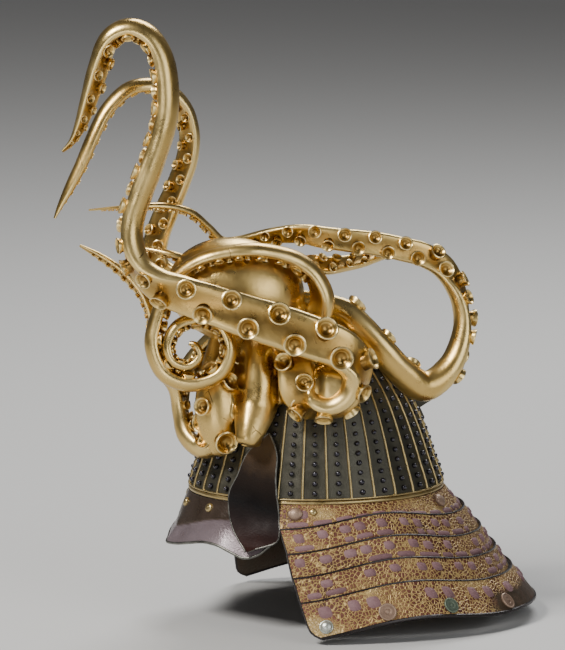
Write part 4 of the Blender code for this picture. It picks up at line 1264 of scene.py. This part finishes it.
EAR_LACQUER = surface("ear_lacquer", "lacquer", (
    (0.0, 0.034, 0.01, 0.007), (0.22, 0.015, 0.005, 0.004), (0.45, 0.004, 0.003, 0.003),
    (0.7, 0.014, 0.008, 0.005), (0.84, 0.06, 0.035, 0.017), (1.0, 0.09, 0.057, 0.029),
), metallic=0.0, rough=0.52, grain=55.0, bump=0.3, toned=0.85, shine=0.12)
STEEL_RIM = surface("steel_rim", "lacquer", (
    (0.0, 0.024, 0.022, 0.02), (0.5, 0.08, 0.076, 0.068), (1.0, 0.36, 0.36, 0.32),
), metallic=0.8, rough=0.34, grain=120.0, bump=0.15, toned=0.35)
DARK_RIM_AND_SHADOW = surface("dark_rim_and_shadow", "lacquer", (
    (0.0, 0.01, 0.008, 0.008), (0.6, 0.035, 0.028, 0.028), (1.0, 0.22, 0.2, 0.19),
), metallic=0.5, rough=0.32, grain=140.0, bump=0.15, toned=0.25)
GILT_LEATHER = surface("gilt_leather", "gilt_leather", (
    (0.0, 0.04, 0.034, 0.02), (0.26, 0.07, 0.044, 0.024), (0.4, 0.1, 0.03, 0.02),
    (0.54, 0.16, 0.056, 0.032), (0.63, 0.28, 0.15, 0.065), (0.74, 0.5, 0.36, 0.17), (1.0, 0.5, 0.36, 0.27),
), metallic=0.35, rough=0.45, grain=60.0, bump=0.9, toned=0.55,
    cracks=0.7, crack_scale=290.0, crack_width=0.17, crack_colour=(0.56, 0.39, 0.14))
LACING = surface("mauve_lacing", "gilt_leather", (
    (0.0, 0.08, 0.036, 0.036), (0.5, 0.205, 0.108, 0.115), (1.0, 0.33, 0.2, 0.21),
), metallic=0.05, rough=0.6, grain=220.0, bump=0.7, toned=0.45)
SILVER = surface("worn_silver", "disc_metal", (
    (0.0, 0.16, 0.16, 0.13), (0.6, 0.52, 0.54, 0.47), (1.0, 0.8, 0.82, 0.76),
), metallic=0.85, rough=0.35, grain=160.0, bump=0.15, toned=0.6)
TAN_METAL = surface("tan_metal", "disc_metal", (
    (0.0, 0.1, 0.065, 0.045), (0.5, 0.26, 0.17, 0.12), (1.0, 0.42, 0.3, 0.22),
), metallic=0.5, rough=0.48, grain=140.0, bump=0.35, toned=0.5)
GREEN_METAL = surface("green_metal", "disc_metal", (
    (0.0, 0.03, 0.045, 0.035), (0.5, 0.1, 0.13, 0.095), (1.0, 0.2, 0.24, 0.17),
), metallic=0.5, rough=0.5, grain=140.0, bump=0.35, toned=0.5)
# The gilt takes most of its colour from the tone attribute, so the painted shade of the arms' sucker faces,
# the suckers' feet and cups and the body's dents shows strongly in it.
GOLD = surface("gold_leaf", "gold_leaf", (
    (0.0, 0.09, 0.042, 0.012), (0.3, 0.34, 0.2, 0.055), (0.55, 0.69, 0.47, 0.155),
    (0.8, 0.85, 0.635, 0.26), (1.0, 0.95, 0.78, 0.42),
), metallic=1.0, rough=0.31, grain=38.0, bump=0.22, toned=0.8, rough_spread=0.09,
    cracks=0.4, crack_scale=26.0, crack_width=0.012, crack_colour=(0.1, 0.045, 0.015))

make_camera()
make_lights()
make_bowl()
make_base_ring()
make_visor()
make_ears()
make_guard()
make_guard_trim()
make_body()
for arm in ARMS:
    make_arm(*arm)
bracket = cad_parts["rear_bracket"]
dress(bracket, IRON)
chamfer = bracket.modifiers.new("chamfer", "BEVEL")
chamfer.width = BRACKET_CHAMFER
chamfer.segments = 2
